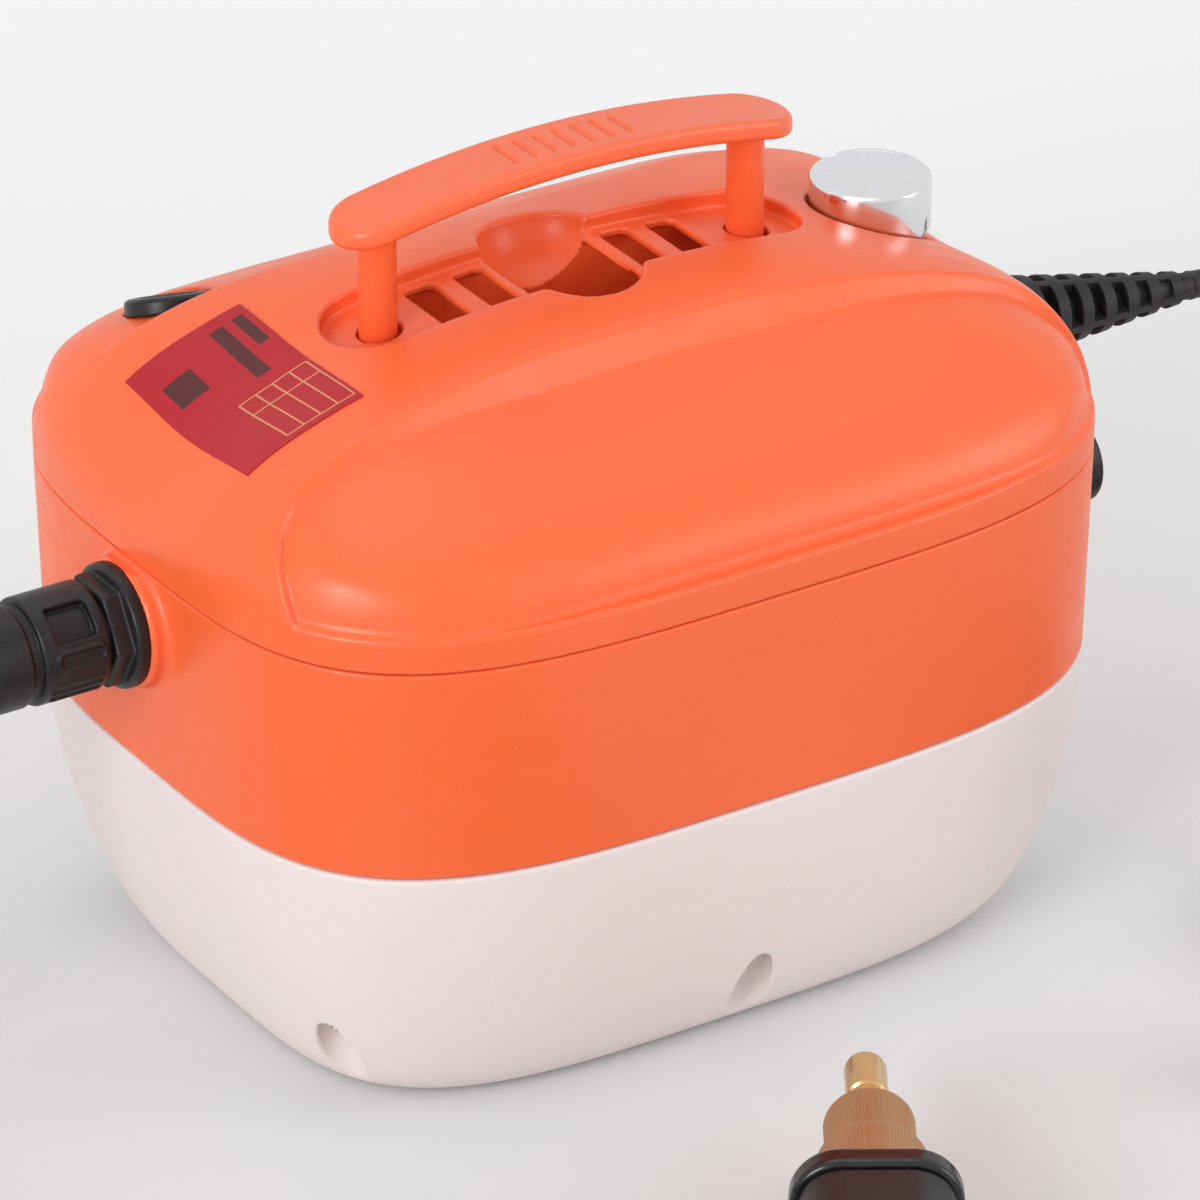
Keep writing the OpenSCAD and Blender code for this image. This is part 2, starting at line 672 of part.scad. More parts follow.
module boiler_block() {
    outlet = 9;
    color("#b9bcc0") difference() {
        union() {
            translate(boiler_at + [0, boiler[1] / 2, boiler[2] / 2]) rotate([0, 90, 0]) rotate(90)
                stadium(boiler[1], boiler[2] - 4, boiler[0]);
            translate(boiler_at + [2, 6, -0]) cube([boiler[0] - 4, boiler[1] - 12, boiler[2]]);
            translate(boiler_at + [-outlet, boiler[1] / 2, boiler[2] / 2]) rotate([0, 90, 0]) cylinder(d = pipe_d + 3, h = outlet + 2);
            translate(boiler_at + [boiler[0] - 2, boiler[1] / 2, boiler[2] / 2]) rotate([0, 90, 0])
                cylinder(d = pipe_d + 3, h = outlet + 2);
        }
        for (k = [1:4]) translate(boiler_at + [-1 + k * boiler[0] / 5, -1, boiler[2] - 5]) cube([2, boiler[1] + 2, 10]);
    }
}

module heater_terminals() {
    color("#d8d2c4") for (s = [-1, 1])
        translate(boiler_at + [boiler[0], boiler[1] / 2 + s * 12, boiler[2] / 2 - 9]) rotate([0, 90, 0]) {
            cylinder(d = 7, h = 9);
            cylinder(d = 3, h = 18);
        }
}

module thermostat() {
    color("#d9d9dc") translate(boiler_at + [boiler[0] * 0.5, boiler[1] / 2, boiler[2]]) {
        cylinder(d = 15, h = 6);
        translate([0, 0, 6]) cylinder(d = 11, h = 4);
        for (s = [-1, 1]) translate([s * 3.5 - 0.5, -2.4, 9]) cube([1, 4.8, 8]);
    }
}

module thermal_fuse() {
    color("#c9a25a") translate(boiler_at + [12, boiler[1] / 2 + 10, boiler[2] + 2.5]) rotate([90, 0, 0]) {
        cylinder(d = 5, h = 20);
        translate([-2.5, -2.5, 0]) cube([5, 2.5, 20]);
    }
}

module boiler_clamps() {
    color("#9a9a9a") for (f = [0.2, 0.8]) translate([boiler_at[0] + f * boiler[0] - 5, boiler_at[1] - 9, floor_z]) {
        difference() {
            cube([10, boiler[1] + 18, boiler_at[2] - floor_z]);
            translate([-1, 15, -1]) cube([12, boiler[1] - 12, boiler_at[2] - floor_z - 1]);
        }
    }
}

module pump_body() {
    color("#2f4f7a") {
        difference() {
            translate(pump_at) cube(pump_frame);
            translate(pump_at + [5, -1, 6]) cube([pump_frame[0] - 10, pump_frame[1] + 2, pump_frame[2] - 12]);
        }
        translate(pump_axis - [pump_frame[0] / 2 - 5, 0, 0]) rotate([0, 90, 0]) cylinder(d = pump_frame[2] - 14, h = pump_frame[0] - 10);
        for (s = [-1, 1]) translate(pump_axis + [s > 0 ? pump_frame[0] / 2 : -pump_frame[0] / 2 - pump_stub, 0, 0])
            rotate([0, 90, 0]) cylinder(d = 14, h = pump_stub);
    }
}

module pump_mounts() {
    color("#3a3a3a") for (s = [0, 1])
        translate([pump_at[0] + s * (pump_frame[0] - 12), pump_at[1] - 4, floor_z]) cube([12, pump_frame[1] + 8, pump_at[2] - floor_z]);
}

module suction_tube() {
    inlet = pump_axis - [pump_frame[0] / 2 + pump_stub, 0, 0];
    color("#cfd3d4") {
        translate([suction_at[0], suction_at[1], 20]) cylinder(d = pipe_d, h = pump_axis[2] - 20);
        translate([suction_at[0], suction_at[1], pump_axis[2]]) sphere(d = pipe_d);
        translate([suction_at[0], suction_at[1], pump_axis[2]]) rotate([0, 90, 0]) cylinder(d = pipe_d, h = inlet[0] - suction_at[0]);
    }
}

module suction_filter() {
    color("#e9e9e2") translate([suction_at[0], suction_at[1], wall + 1]) difference() {
        cylinder(d = 16, h = 24 - wall);
        translate([0, 0, 20 - wall - 1]) cylinder(d = pipe_d + 2 * fit, h = 20);
        for (k = [0:7]) rotate(45 * k) translate([3, -1, 3]) cube([10, 2, 9]);
    }
}

pump_out = pump_axis + [pump_frame[0] / 2 + pump_stub, 0, 0];
boiler_mid = boiler_at + [0, boiler[1] / 2, boiler[2] / 2];
feed_route = [for (k = [0, 4, 8]) pump_out + [k, 0, 0], pump_out + [18, -18, 0], pump_out + [20, -40, 1], boiler_mid + [boiler[0] + 29, 17, 1],
    boiler_mid + [boiler[0] + 23, 4, 0], for (k = [16, 12.5, 9]) boiler_mid + [boiler[0] + k, 0, 0]];
steam_route = [for (k = [9, 12.5, 16]) boiler_mid - [k, 0, 0], [42 - half_l, boiler_mid[1] + 9, hose_z - 8],
    [32 - half_l, -22, hose_z - 4], [26 - half_l, -8, hose_z - 1], for (k = [21, 17, thread_in]) [k - half_l, 0, hose_z]];

module feed_tube() {
    color("#d6dcdd") cord_tube(curve(feed_route, 3), pipe_d, 10);
}

module steam_tube() {
    color("#b87a4b") cord_tube(curve(steam_route, 3), pipe_d, 10);
}

module control_board() {
    color("#2f6b3f") {
        translate(board_at) cube(board);
        translate(board_at + [board[0], 8, 8]) cube([14, 12, 16]);
        translate(board_at + [board[0], 28, 6]) cube([10, 18, 22]);
        translate(board_at + [board[0], 16, 38]) rotate([0, 90, 0]) cylinder(d = 10, h = 16);
        for (k = [0:4]) translate(board_at + [board[0], 42 + k * 4, 32]) cube([18, 1.6, 14]);
        for (s = [8, board[1] - 16]) translate([board_at[0] - 4, board_at[1] + s, floor_z]) cube([4, 8, board_at[2] - floor_z + 6]);
    }
}

module terminal_block() {
    color("#e6e2d2") translate([half_l - 51, -40, floor_z]) difference() {
        cube([14, 30, 16]);
        for (k = [0:2]) translate([7, 5 + k * 10, 6]) cylinder(d = 6, h = 20);
    }
}

module cord_clamp() {
    w = 22;
    color("#3a3838") translate([half_l - 30, 0, floor_z]) difference() {
        translate([-5, -w / 2, 0]) cube([10, w, cord_z - floor_z + 5]);
        translate([-10, 0, cord_z - floor_z + 1]) rotate([0, 90, 0]) cylinder(d = cord_d + 2 * fit, h = 20);
        translate([-10, -w / 2 + 4, 5]) cube([20, w - 8, cord_z - floor_z - 20]);
    }
}

// Mains lead

// Strain relief: taper with ring grooves, bridged by four webs
module strain_relief() {
    start = 4;
    tip_r = cord_d / 2 + 0.9;
    step = (relief_l - start - 6) / relief_ribs;
    color("#2a2829") at_relief() {
        translate([0, 0, -8]) cylinder(r = relief_r + 2, h = 3);
        translate([0, 0, -8]) cylinder(r = relief_r - 1, h = 10);
        translate([0, 0, 1.2]) cylinder(r = relief_r + 0.6, h = start - 1.2);
        cylinder(r1 = relief_r - 3, r2 = tip_r - 1, h = relief_l);
        for (k = [0:relief_ribs]) {
            z = start + k * step;
            r = relief_r + (tip_r - relief_r) * (z - start) / (relief_l - start);
            translate([0, 0, z]) cylinder(r = r, h = step * 0.5);
        }
        intersection() {
            translate([0, 0, start - 1]) cylinder(r1 = relief_r - 0.8, r2 = tip_r - 0.5, h = relief_l - start);
            for (a = [0, 90]) rotate(a + 45) translate([-20, -1.6, start - 0.5]) cube([40, 3.2, relief_l - start - 4]);
        }
    }
}

// Points of the coil: inwards on the floor, a half-turn climb, then outwards on top
function coil_r(t) = t < cord_in_turns + 0.25 ? cord_coil_r - cord_pitch * t
    : cord_coil_r - cord_pitch * (2 * (cord_in_turns + 0.25) - t);
function coil_h(t) = cord_low + cord_pitch * min(1, max(0, (t - cord_in_turns) * 2));
cord_turns = cord_in_turns + 0.5 + cord_out_turns;
cord_coil_path = [for (i = [0:24 * cord_turns]) let (t = i / 24)
    [cord_coil_c[0] + coil_r(t) * cos(360 * t), cord_coil_c[1] - coil_r(t) * sin(360 * t), coil_h(t)]];
cord_lead_path = curve(concat(cord_route, [cord_coil_path[0]]), 3);
cord_tail_path = curve([cord_coil_path[len(cord_coil_path) - 1], [181, -196.3, 12.6], plug_at + [9, 0, 0], plug_at], 3);
cord_path = concat(cord_lead_path, [for (i = [1:len(cord_coil_path) - 1]) cord_coil_path[i]],
    [for (i = [1:len(cord_tail_path) - 1]) cord_tail_path[i]]);
cord_len = lengths(cord_path);
coil_from = len(cord_lead_path) - 1;
coil_to = coil_from + len(cord_coil_path) - 1;
cord_end = len(cord_path) - 1;

// Stretch of the mains lead between two points of its path
module cord_run(from, to, sides) {
    color("#262425") loft([for (i = [from:to])
        round_ring(cord_path[i], heading(cord_path, cord_len, min(max(cord_len[i], 0.5), cord_len[cord_end] - 0.5)), cord_d / 2, sides)]);
}

module cord_lead() {
    echo(cord_length = cord_len[cord_end], cord_gap = self_gap(cord_path, cord_len, cord_d, 4 * cord_d));
    cord_run(0, coil_from, 10);
}

module cord_coil() {
    cord_run(coil_from, coil_to, 6);
}

module cord_tail() {
    cord_run(coil_to, cord_end, 10);
}

// Flat strap, closed around a bundle of a width and a height, standing on the floor
module strap(w, top, l) {
    rotate([90, 0, 90]) linear_extrude(l, center = true) difference() {
        translate([-w / 2 - strap_gap - strap_t, 0]) square([w + 2 * strap_gap + 2 * strap_t, top + strap_gap + strap_t]);
        translate([-w / 2 - strap_gap, strap_t]) square([w + 2 * strap_gap, top + strap_gap - strap_t]);
    }
}

module cord_tie() {
    inner = coil_r(cord_in_turns + 0.25);
    outer = coil_r(0.75);
    color("#3c3a3b") translate([cord_coil_c[0], cord_coil_c[1] + (inner + outer) / 2, 0])
        strap(outer - inner + cord_d, cord_low + cord_pitch + cord_d / 2, 10);
}

module plug_body() {
    color("#262425") translate(plug_at) rotate([0, -90, 0]) {
        cylinder(r1 = 5, r2 = 9, h = 14);
        translate([0, 0, 14]) cylinder(r1 = 12, r2 = 14, h = 6);
        translate([0, 0, 20]) cylinder(r = 14, h = plug_l - 20);
    }
}

module plug_pins() {
    color("#c9c9cc") translate(plug_at) rotate([0, -90, 0]) for (s = [-1, 1]) translate([s * 9.5, 0, plug_l]) {
        cylinder(d = 4.8, h = 17);
        translate([0, 0, 17]) cylinder(d1 = 4.8, d2 = 2.8, h = 2);
    }
}

// Steam hose

module hose_connector() {
    r = connector_r;
    ribs = 8;
    color("#262425") at_connector() difference() {
        union() {
            translate([0, 0, half_l - thread_in]) cylinder(r = r - 4, h = boss_out + thread_in);
            translate([0, 0, connector_x]) cylinder(r = r + 2.6, h = 6, $fn = 6);
            translate([0, 0, connector_x + 6]) cylinder(r = r - 2.6, h = 4);
            translate([0, 0, connector_x + 10]) cylinder(r = r, h = 20);
            translate([0, 0, connector_x + 30]) cylinder(r = r - 1.6, h = 2.5);
            translate([0, 0, connector_x + 32.5]) cylinder(r = r - 0.6, h = 11.5);
            for (k = [0:ribs - 1]) rotate(360 * k / ribs) translate([r - 0.4, -1, connector_x + 12]) cube([1, 2, 16]);
        }
        for (k = [0:1]) rotate(180 * k + 45) translate([r - 3, -5, connector_x + 13]) cube([10, 10, 11]);
        translate([0, 0, half_l - 5]) cylinder(r = hose_bore_r, h = 80);
        translate([0, 0, half_l - 20]) cylinder(d = pipe_d - 2, h = 40);
    }
}

module connector_nut() {
    color("#3a3839") at_connector() translate([0, 0, half_l - wall - 7.2]) difference() {
        cylinder(r = connector_r + 2.6, h = 6, $fn = 6);
        translate([0, 0, -1]) cylinder(r = connector_r - 4 + 0.02, h = 8);
    }
}

hose_end = [for (k = [0:1]) gun_tip[k] + (k == 0 ? grip_end[0] * cos(gun_turn) - grip_end[1] * sin(gun_turn)
    : grip_end[0] * sin(gun_turn) + grip_end[1] * cos(gun_turn))];
hose_coil_points = [for (i = [0:34]) let (t = hose_turn * i / 34, r = hose_coil_r + hose_pitch * t / 360,
    sink = max(0, 1 - t / 50)) [hose_coil_c[0] - r * sin(t), hose_coil_c[1] + r * cos(t), hose_low + hose_drop * sink * sink]];
hose_in = [-sin(gun_turn + grip_rake), cos(gun_turn + grip_rake), 0];
hose_last = [hose_end[0], hose_end[1], gun_tip[2]];
hose_points = concat(hose_route, hose_coil_points, hose_tail, [hose_last + 20 * hose_in, hose_last]);
curve_m = 6;
hose_path = curve(hose_points, curve_m);
hose_len = lengths(hose_path);
hose_lead_end = hose_len[len(hose_route) * curve_m];
hose_coil_end = hose_len[(len(hose_route) + len(hose_coil_points) - 1) * curve_m];
hose_full = hose_len[len(hose_len) - 1];

// Stretch of ribbed hose with its bore, between two running lengths
module ribbed_hose(from, to) {
    ribs = round((to - from) / rib_pitch);
    step = (to - from) / ribs;
    sides = 8;
    bores = ceil((to - from) / (2.5 * hose_d));
    low = hose_d / 2 - rib_deep;
    function ring(s, r) = round_ring(at_length(hose_path, hose_len, s),
        heading(hose_path, hose_len, min(max(s, 0.5), hose_full - 0.5)), r, sides);
    outer = concat([ring(from, low)], [for (k = [0:ribs - 1]) each
        [ring(from + (k + 0.3) * step, hose_d / 2), ring(from + (k + 0.8) * step, low)]], [ring(to, low)]);
    inner = [for (k = [0:bores]) ring(from + (to - from) * k / bores, hose_bore_r)];
    pipe_loft(outer, inner);
}

module hose_lead() {
    echo(hose_length = hose_full, hose_gap = self_gap(hose_path, hose_len, hose_d, 4 * hose_d));
    color("#2a2829") ribbed_hose(0, hose_lead_end);
}

module hose_coil() {
    color("#2a2829") ribbed_hose(hose_lead_end, hose_coil_end);
}

module hose_tail_run() {
    color("#2a2829") ribbed_hose(hose_coil_end, hose_full);
}

// Strap around the two turns at the coil's far side
module hose_tie() {
    color("#3c3a3b") translate([hose_coil_c[0] - hose_coil_r - hose_pitch * 0.75, hose_coil_c[1], 0]) rotate(90)
        strap(hose_pitch + hose_d, hose_low + hose_d / 2, 12);
}

// Steam gun

module nozzle_tip() {
    color("#c39a52") at_gun() rotate([0, -90, 0]) difference() {
        union() {
            rotate_extrude() polygon([[0, 0], [tip_d / 2 - 1.2, 0], [tip_d / 2, 1.2], [tip_d / 2, 17], [tip_d / 2 - 0.7, 17.6],
                [tip_d / 2 - 0.7, 19], [tip_d / 2, 19.6], [tip_d / 2, tip_l], [0, tip_l]]);
            translate([0, 0, tip_l]) cylinder(d = tip_d - 2, h = 14);
        }
        translate([0, 0, -1]) cylinder(d = 4, h = tip_l + 20);
    }
}

module nozzle_body() {
    color("#b5824a") at_gun() rotate([0, -90, 0]) difference() {
        union() {
            translate([0, 0, tip_l]) cylinder(d = nut_d, h = nut_l);
            translate([0, 0, tip_l + nut_l]) cylinder(d = collar_d, h = collar_l);
            translate([0, 0, tip_l + nut_l + collar_l]) cylinder(d = 16, h = 24);
        }
        translate([0, 0, tip_l - 1]) cylinder(d = tip_d - 2 + 0.04, h = 15.2);
        translate([0, 0, tip_l]) cylinder(d = 6, h = 90);
    }
}

// Rounded square frame at the front of the barrel
module gun_bezel() {
    color("#242223") at_gun() translate([barrel_x - bezel[0] + 1, 0, 0]) rotate([90, 0, 90]) difference() {
        linear_extrude(bezel[0]) difference() {
            union() {
                square([bezel[1] - 2 * bezel_r, bezel[2]], center = true);
                square([bezel[1], bezel[2] - 2 * bezel_r], center = true);
                for (i = [-1, 1], j = [-1, 1]) translate([i * (bezel[1] / 2 - bezel_r), j * (bezel[2] / 2 - bezel_r)]) circle(bezel_r);
            }
            circle(d = 16 + 2 * fit);
        }
        translate([0, 0, bezel[0] - 1]) cylinder(d = collar_d + 2 * fit, h = 5);
    }
}

// Rectangle with round corners, centred
module round_rect(w, h, r) {
    square([w - 2 * r, h], center = true);
    square([w, h - 2 * r], center = true);
    for (i = [-1, 1], j = [-1, 1]) translate([i * (w / 2 - r), j * (h / 2 - r)]) circle(r);
}

// Solid outline of barrel and grip, before it is split and hollowed
module gun_solid() {
    back = barrel_x - bezel[0] + 1;
    intersection() {
        translate([back - barrel[0], 0, 0]) rotate([90, 0, 90]) linear_extrude(barrel[0]) round_rect(barrel[1], barrel[2], bezel_r);
        translate([back - barrel[0] + barrel[1] / 2, 0, -barrel[2]]) linear_extrude(2 * barrel[2]) {
            translate([0, -barrel[1] / 2]) square([barrel[0], barrel[1]]);
            circle(d = barrel[1]);
        }
    }
    at_grip_end() translate([0, 0, -120]) linear_extrude(120 - grip_nut_l) round_rect(grip_size[0], grip_size[1], grip_size[2]);
    at_grip_end() translate([0, 0, -grip_nut_l - 14]) linear_extrude(14)
        round_rect(grip_size[0] + 4, grip_size[1] + 4, grip_size[2] + 2);
}

module gun_cavity() {
    translate([-136, 0, 0]) rotate([0, -90, 0]) cylinder(d = 18, h = 44);
    translate([barrel_x - bezel[0] - 30, 0, 0]) rotate([0, 90, 0]) cylinder(d = 16 + 2 * fit, h = 60);
    translate([-168, 22, -trigger_t / 2 - free]) cube([34, 62, trigger_t + 2 * free]);
    translate([trigger_pivot[0], trigger_pivot[1], -12]) cylinder(d = trigger_pin_d + 0.04, h = 24);
    translate([-172, 61 - fit, -5 - fit]) cube([10, 20 + 2 * fit, 10 + 2 * fit]);
    at_grip_end() translate([0, 0, -36]) cylinder(d = 12, h = 60);
}

module at_grip_end() {
    translate([grip_end[0], grip_end[1], 0]) rotate([0, 0, grip_rake]) rotate([-90, 0, 0]) children();
}

module gun_half(side) {
    color("#272526") at_gun() difference() {
        intersection() {
            gun_solid();
            translate([-260, -60, side > 0 ? 0 : -60]) cube([260, 240, 60]);
        }
        gun_cavity();
        at_grip_end() translate([0, 0, -grip_nut_l]) cylinder(r = 40, h = 40);
    }
}

module gun_shell_lower() { gun_half(-1); }

module gun_shell_upper() { gun_half(1); }

module gun_trigger() {
    color("#1f1d1e") at_gun() translate([0, 0, -trigger_t / 2]) difference() {
        linear_extrude(trigger_t) polygon([[-164, 32], [-156, 31], [-140, 38], [-134, 50], [-137, 64], [-136, 78], [-140, 82],
            [-146, 80], [-151, 62], [-156, 42], [-164, 40]]);
        translate([trigger_pivot[0], trigger_pivot[1], -1]) cylinder(d = trigger_pin_d + 2 * run, h = trigger_t + 2);
    }
}

module trigger_pin() {
    color("silver") at_gun() translate([trigger_pivot[0], trigger_pivot[1], -12]) cylinder(d = trigger_pin_d, h = 24);
}

module micro_switch() {
    color("#d8d4c8") at_gun() {
        translate([-172, 61, -5]) cube([12, 20, 10]);
        translate([-160, 68, -2]) cube([3, 5, 4]);
    }
}

module gun_hose_nut() {
    color("#242223") at_gun() at_grip_end() translate([0, 0, -grip_nut_l]) difference() {
        cylinder(d = hose_d + 8, h = grip_nut_l);
        translate([0, 0, -1]) cylinder(d = 12, h = grip_nut_l + 2);
        for (k = [0:11]) rotate(30 * k) translate([hose_d / 2 + 4.6, 0, 3]) cylinder(r = 1.4, h = grip_nut_l);
    }
}

water_tank();
tank_gasket();
tank_screws();
mid_body();
cover_screws();
top_cover();
handle_tray();
handle_grip();
handle_posts();
post_clips();
control_knob();
control_shaft();
potentiometer();
control_nut();
filler_neck();
filler_cap();
cap_gasket();
filler_tube();
switch_housing();
power_rocker();
boiler_block();
heater_terminals();
thermostat();
thermal_fuse();
boiler_clamps();
pump_body();
pump_mounts();
suction_tube();
suction_filter();
feed_tube();
steam_tube();
control_board();
terminal_block();
cord_clamp();
strain_relief();
cord_lead();
cord_coil();
cord_tail();
cord_tie();
plug_body();
plug_pins();
hose_connector();
connector_nut();
hose_lead();
hose_coil();
hose_tail_run();
hose_tie();
gun_shell_lower();
gun_shell_upper();
gun_bezel();
nozzle_body();
nozzle_tip();
gun_trigger();
trigger_pin();
micro_switch();
gun_hose_nut();
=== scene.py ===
"""Portable steam cleaner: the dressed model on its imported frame.

Shapes are in millimetres while they are made and in metres in Blender.
X runs along the body, Y across it and Z up, with the origin under the tank.
"""

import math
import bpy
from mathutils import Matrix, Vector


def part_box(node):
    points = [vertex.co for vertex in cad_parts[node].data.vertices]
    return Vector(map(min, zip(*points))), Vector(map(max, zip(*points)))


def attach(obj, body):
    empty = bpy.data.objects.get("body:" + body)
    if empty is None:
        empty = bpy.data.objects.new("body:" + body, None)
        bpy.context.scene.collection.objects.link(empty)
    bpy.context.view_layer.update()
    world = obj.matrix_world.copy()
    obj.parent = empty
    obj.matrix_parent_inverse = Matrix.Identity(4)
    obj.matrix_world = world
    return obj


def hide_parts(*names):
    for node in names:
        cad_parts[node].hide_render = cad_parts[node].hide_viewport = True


bl_info = {
    "name": "Portable Steam Cleaner",
    "version": (1, 0, 0),
    "blender": (4, 5, 0),
    "location": "3D View > Sidebar > Steam Cleaner",
    "description": "Builds a portable steam cleaner with its handle, hose, lead and steam gun",
    "category": "Object",
}

from types import SimpleNamespace

import bpy
import numpy as np
from mathutils import Matrix, Vector

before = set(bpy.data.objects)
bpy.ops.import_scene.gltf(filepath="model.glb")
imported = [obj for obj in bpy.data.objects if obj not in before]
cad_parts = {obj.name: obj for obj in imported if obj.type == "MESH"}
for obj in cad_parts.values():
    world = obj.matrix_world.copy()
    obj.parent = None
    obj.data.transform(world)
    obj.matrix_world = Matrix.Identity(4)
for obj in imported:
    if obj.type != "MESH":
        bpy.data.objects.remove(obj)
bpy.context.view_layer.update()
MM = 0.001

# Places that the solids share, in millimetres
PLAN_N = 3.6
DRAFT = 1.3
CREASE_Y = 43
CROWN = 2
SLOT_L, SLOT_W, SLOT_DEPTH = 148, 31, 7
SCOOP_R = 17
POST_X = 58.5
POST_D = 10.5
POST_DEPTH = 12
LIFT = 25
GRIP_GAP = 1
VENT_X = (-38.5, -23.5, 23.5, 38.5)
KNOB_X = 100
FILLER = (-88, 60.4, 176.804)
FILLER_AXIS = (0.11970, 0.39875, 0.90922)
CAP_R = 12
CAP_UP = 3.0
CONNECTOR_Z = 127
BOSS_R = 18.3
SWITCH = (132.6, -55, 125)
SWITCH_R = 12.4
RELIEF = (135, 0, 142)
RELIEF_TILT = math.radians(5.4)
RELIEF_L = 82
GUN_TIP = (-1, -151, 22)
GUN_TURN = math.radians(58)
BEZEL = (45.4, 42.4, 13.5)
GRIP_END = (-190, 118)
GRIP_RAKE = math.radians(15)
PLUG_AT = (158, -197, 14)

# Seams, lip of the cover, wells and taper (inset, power) of the tank, and room around a grid
TANK_SEAM, COVER_SEAM = 0.25, 0.15
LIP = 10
WELL_R, WELL_TOP = 6.4, 28
TANK_TAPER = ((27, 1.5), (32, 2.1))
GRID_ROOM = 4


# Sizes and colours that a user changes


def length(label, about, default):
    return bpy.props.FloatProperty(name=label, description=about, default=default, unit="LENGTH")


def tint(label, about, default):
    return bpy.props.FloatVectorProperty(
        name=label, description=about, default=default, subtype="COLOR", min=0, max=1
    )


class SteamerSizes(bpy.types.PropertyGroup):
    """Main sizes of the machine"""

    body_length: length("Body length", "Length of the body at the parting line", 0.270)
    body_width: length("Body width", "Width of the body at the parting line", 0.216)
    tank_height: length("Tank height", "Height of the water tank", 0.082)
    band_height: length("Band height", "Height of the band above the tank", 0.062)
    cover_height: length("Cover height", "Height of the cover above the band", 0.055)
    grip_length: length("Grip length", "Length of the carrying grip", 0.143)
    grip_width: length("Grip width", "Width of the carrying grip", 0.023)
    grip_thickness: length("Grip thickness", "Thickness of the carrying grip", 0.006)
    grip_arch: length("Grip arch", "Rise of the grip between its ends", 0.00825)
    knob_diameter: length("Knob diameter", "Diameter of the control knob", 0.034)
    hose_diameter: length("Hose diameter", "Outer diameter of the steam hose", 0.018)
    lead_diameter: length("Lead diameter", "Diameter of the mains lead", 0.0075)
    hose_rib_pitch: length("Hose rib pitch", "Distance between two ribs of the hose", 0.0045)


class SteamerColours(bpy.types.PropertyGroup):
    """Colours of the mouldings, metals and stage"""

    orange: tint("Orange", "Colour of the housing", (0.90, 0.135, 0.036))
    tank: tint("Tank", "Colour of the milky water tank", (0.80, 0.705, 0.70))
    black: tint("Black", "Colour of the black mouldings", (0.012, 0.0105, 0.011))
    label: tint("Label", "Colour of the plate on the spine", (0.44, 0.016, 0.024))
    silver: tint("Silver", "Colour of the bright knob", (0.80, 0.80, 0.81))
    brass: tint("Brass", "Colour of the nozzle tip", (0.72, 0.47, 0.21))
    copper: tint("Copper", "Colour of the nozzle nuts", (0.52, 0.34, 0.18))
    floor: tint("Floor", "Colour of the stage floor", (0.865, 0.88, 0.885))


def sizes():
    """Main sizes in millimetres, with the half sizes and heights that follow from them."""
    group = bpy.context.scene.steamer_sizes
    s = SimpleNamespace(**{name: getattr(group, name) / MM for name in SteamerSizes.__annotations__})
    s.a, s.b = s.body_length / 2, s.body_width / 2
    s.part = s.tank_height + s.band_height
    s.spine = s.part + s.cover_height + CROWN
    s.grip_low = s.spine - SLOT_DEPTH + GRIP_GAP + LIFT
    return s


def colour(name):
    return tuple(getattr(bpy.context.scene.steamer_colours, name)) + (1,)


# Distance fields


def smooth_max(a, b, k):
    """Greater of two fields, rounded over k."""
    h = np.clip(0.5 + 0.5 * (a - b) / k, 0, 1)
    return b + (a - b) * h + k * h * (1 - h)


def smooth_min(a, b, k):
    return -smooth_max(-a, -b, k)


def outline(x, y, a, b, n):
    """Reach of a point over the squared oval of half sizes a and b."""
    return (np.abs(x / a) ** n + np.abs(y / b) ** n) ** (1 / n)


def oval_wall(x, y, a, b, n):
    """Distance from the squared oval's wall, along the ray from its centre."""
    reach = np.maximum(outline(x, y, a, b, n), 1e-6)
    return np.hypot(x, y) * (1 - 1 / reach)


def stadium_wall(x, y, length, width):
    return np.hypot(np.maximum(np.abs(x) - (length - width) / 2, 0), y) - width / 2


def round_box(x, y, w, h, r):
    """Distance from a rectangle of full size w by h with corners of radius r."""
    dx = np.abs(x) - w / 2 + r
    dy = np.abs(y) - h / 2 + r
    return np.hypot(np.maximum(dx, 0), np.maximum(dy, 0)) + np.minimum(np.maximum(dx, dy), 0) - r


def spun(x, y, origin, angle):
    """Coordinates from an origin along axes turned by an angle."""
    dx, dy = x - origin[0], y - origin[1]
    c, s = math.cos(angle), math.sin(angle)
    return dx * c + dy * s, dy * c - dx * s


def slab(along, low, high):
    """Distance from the room between two heights."""
    return np.maximum(low - along, along - high)


def carve(body, tool, k):
    """Field of a body with a tool cut out of it, edges rounded over k."""
    return smooth_max(body, -tool, k)


def disc(radius, along, r, low, high, k):
    """Distance from a round bar of radius r between two heights, edges rounded over k."""
    return smooth_max(radius - r, slab(along, low, high), k)


def graded(low, high, step, near=()):
    """Grid lines from low to high, closer inside each near stretch (low, high, step)."""
    lines = [low]
    while lines[-1] < high:
        inside = [n[2] for n in near if n[0] - step < lines[-1] < n[1]]
        lines.append(lines[-1] + min(inside, default=step))
    return np.array(lines)


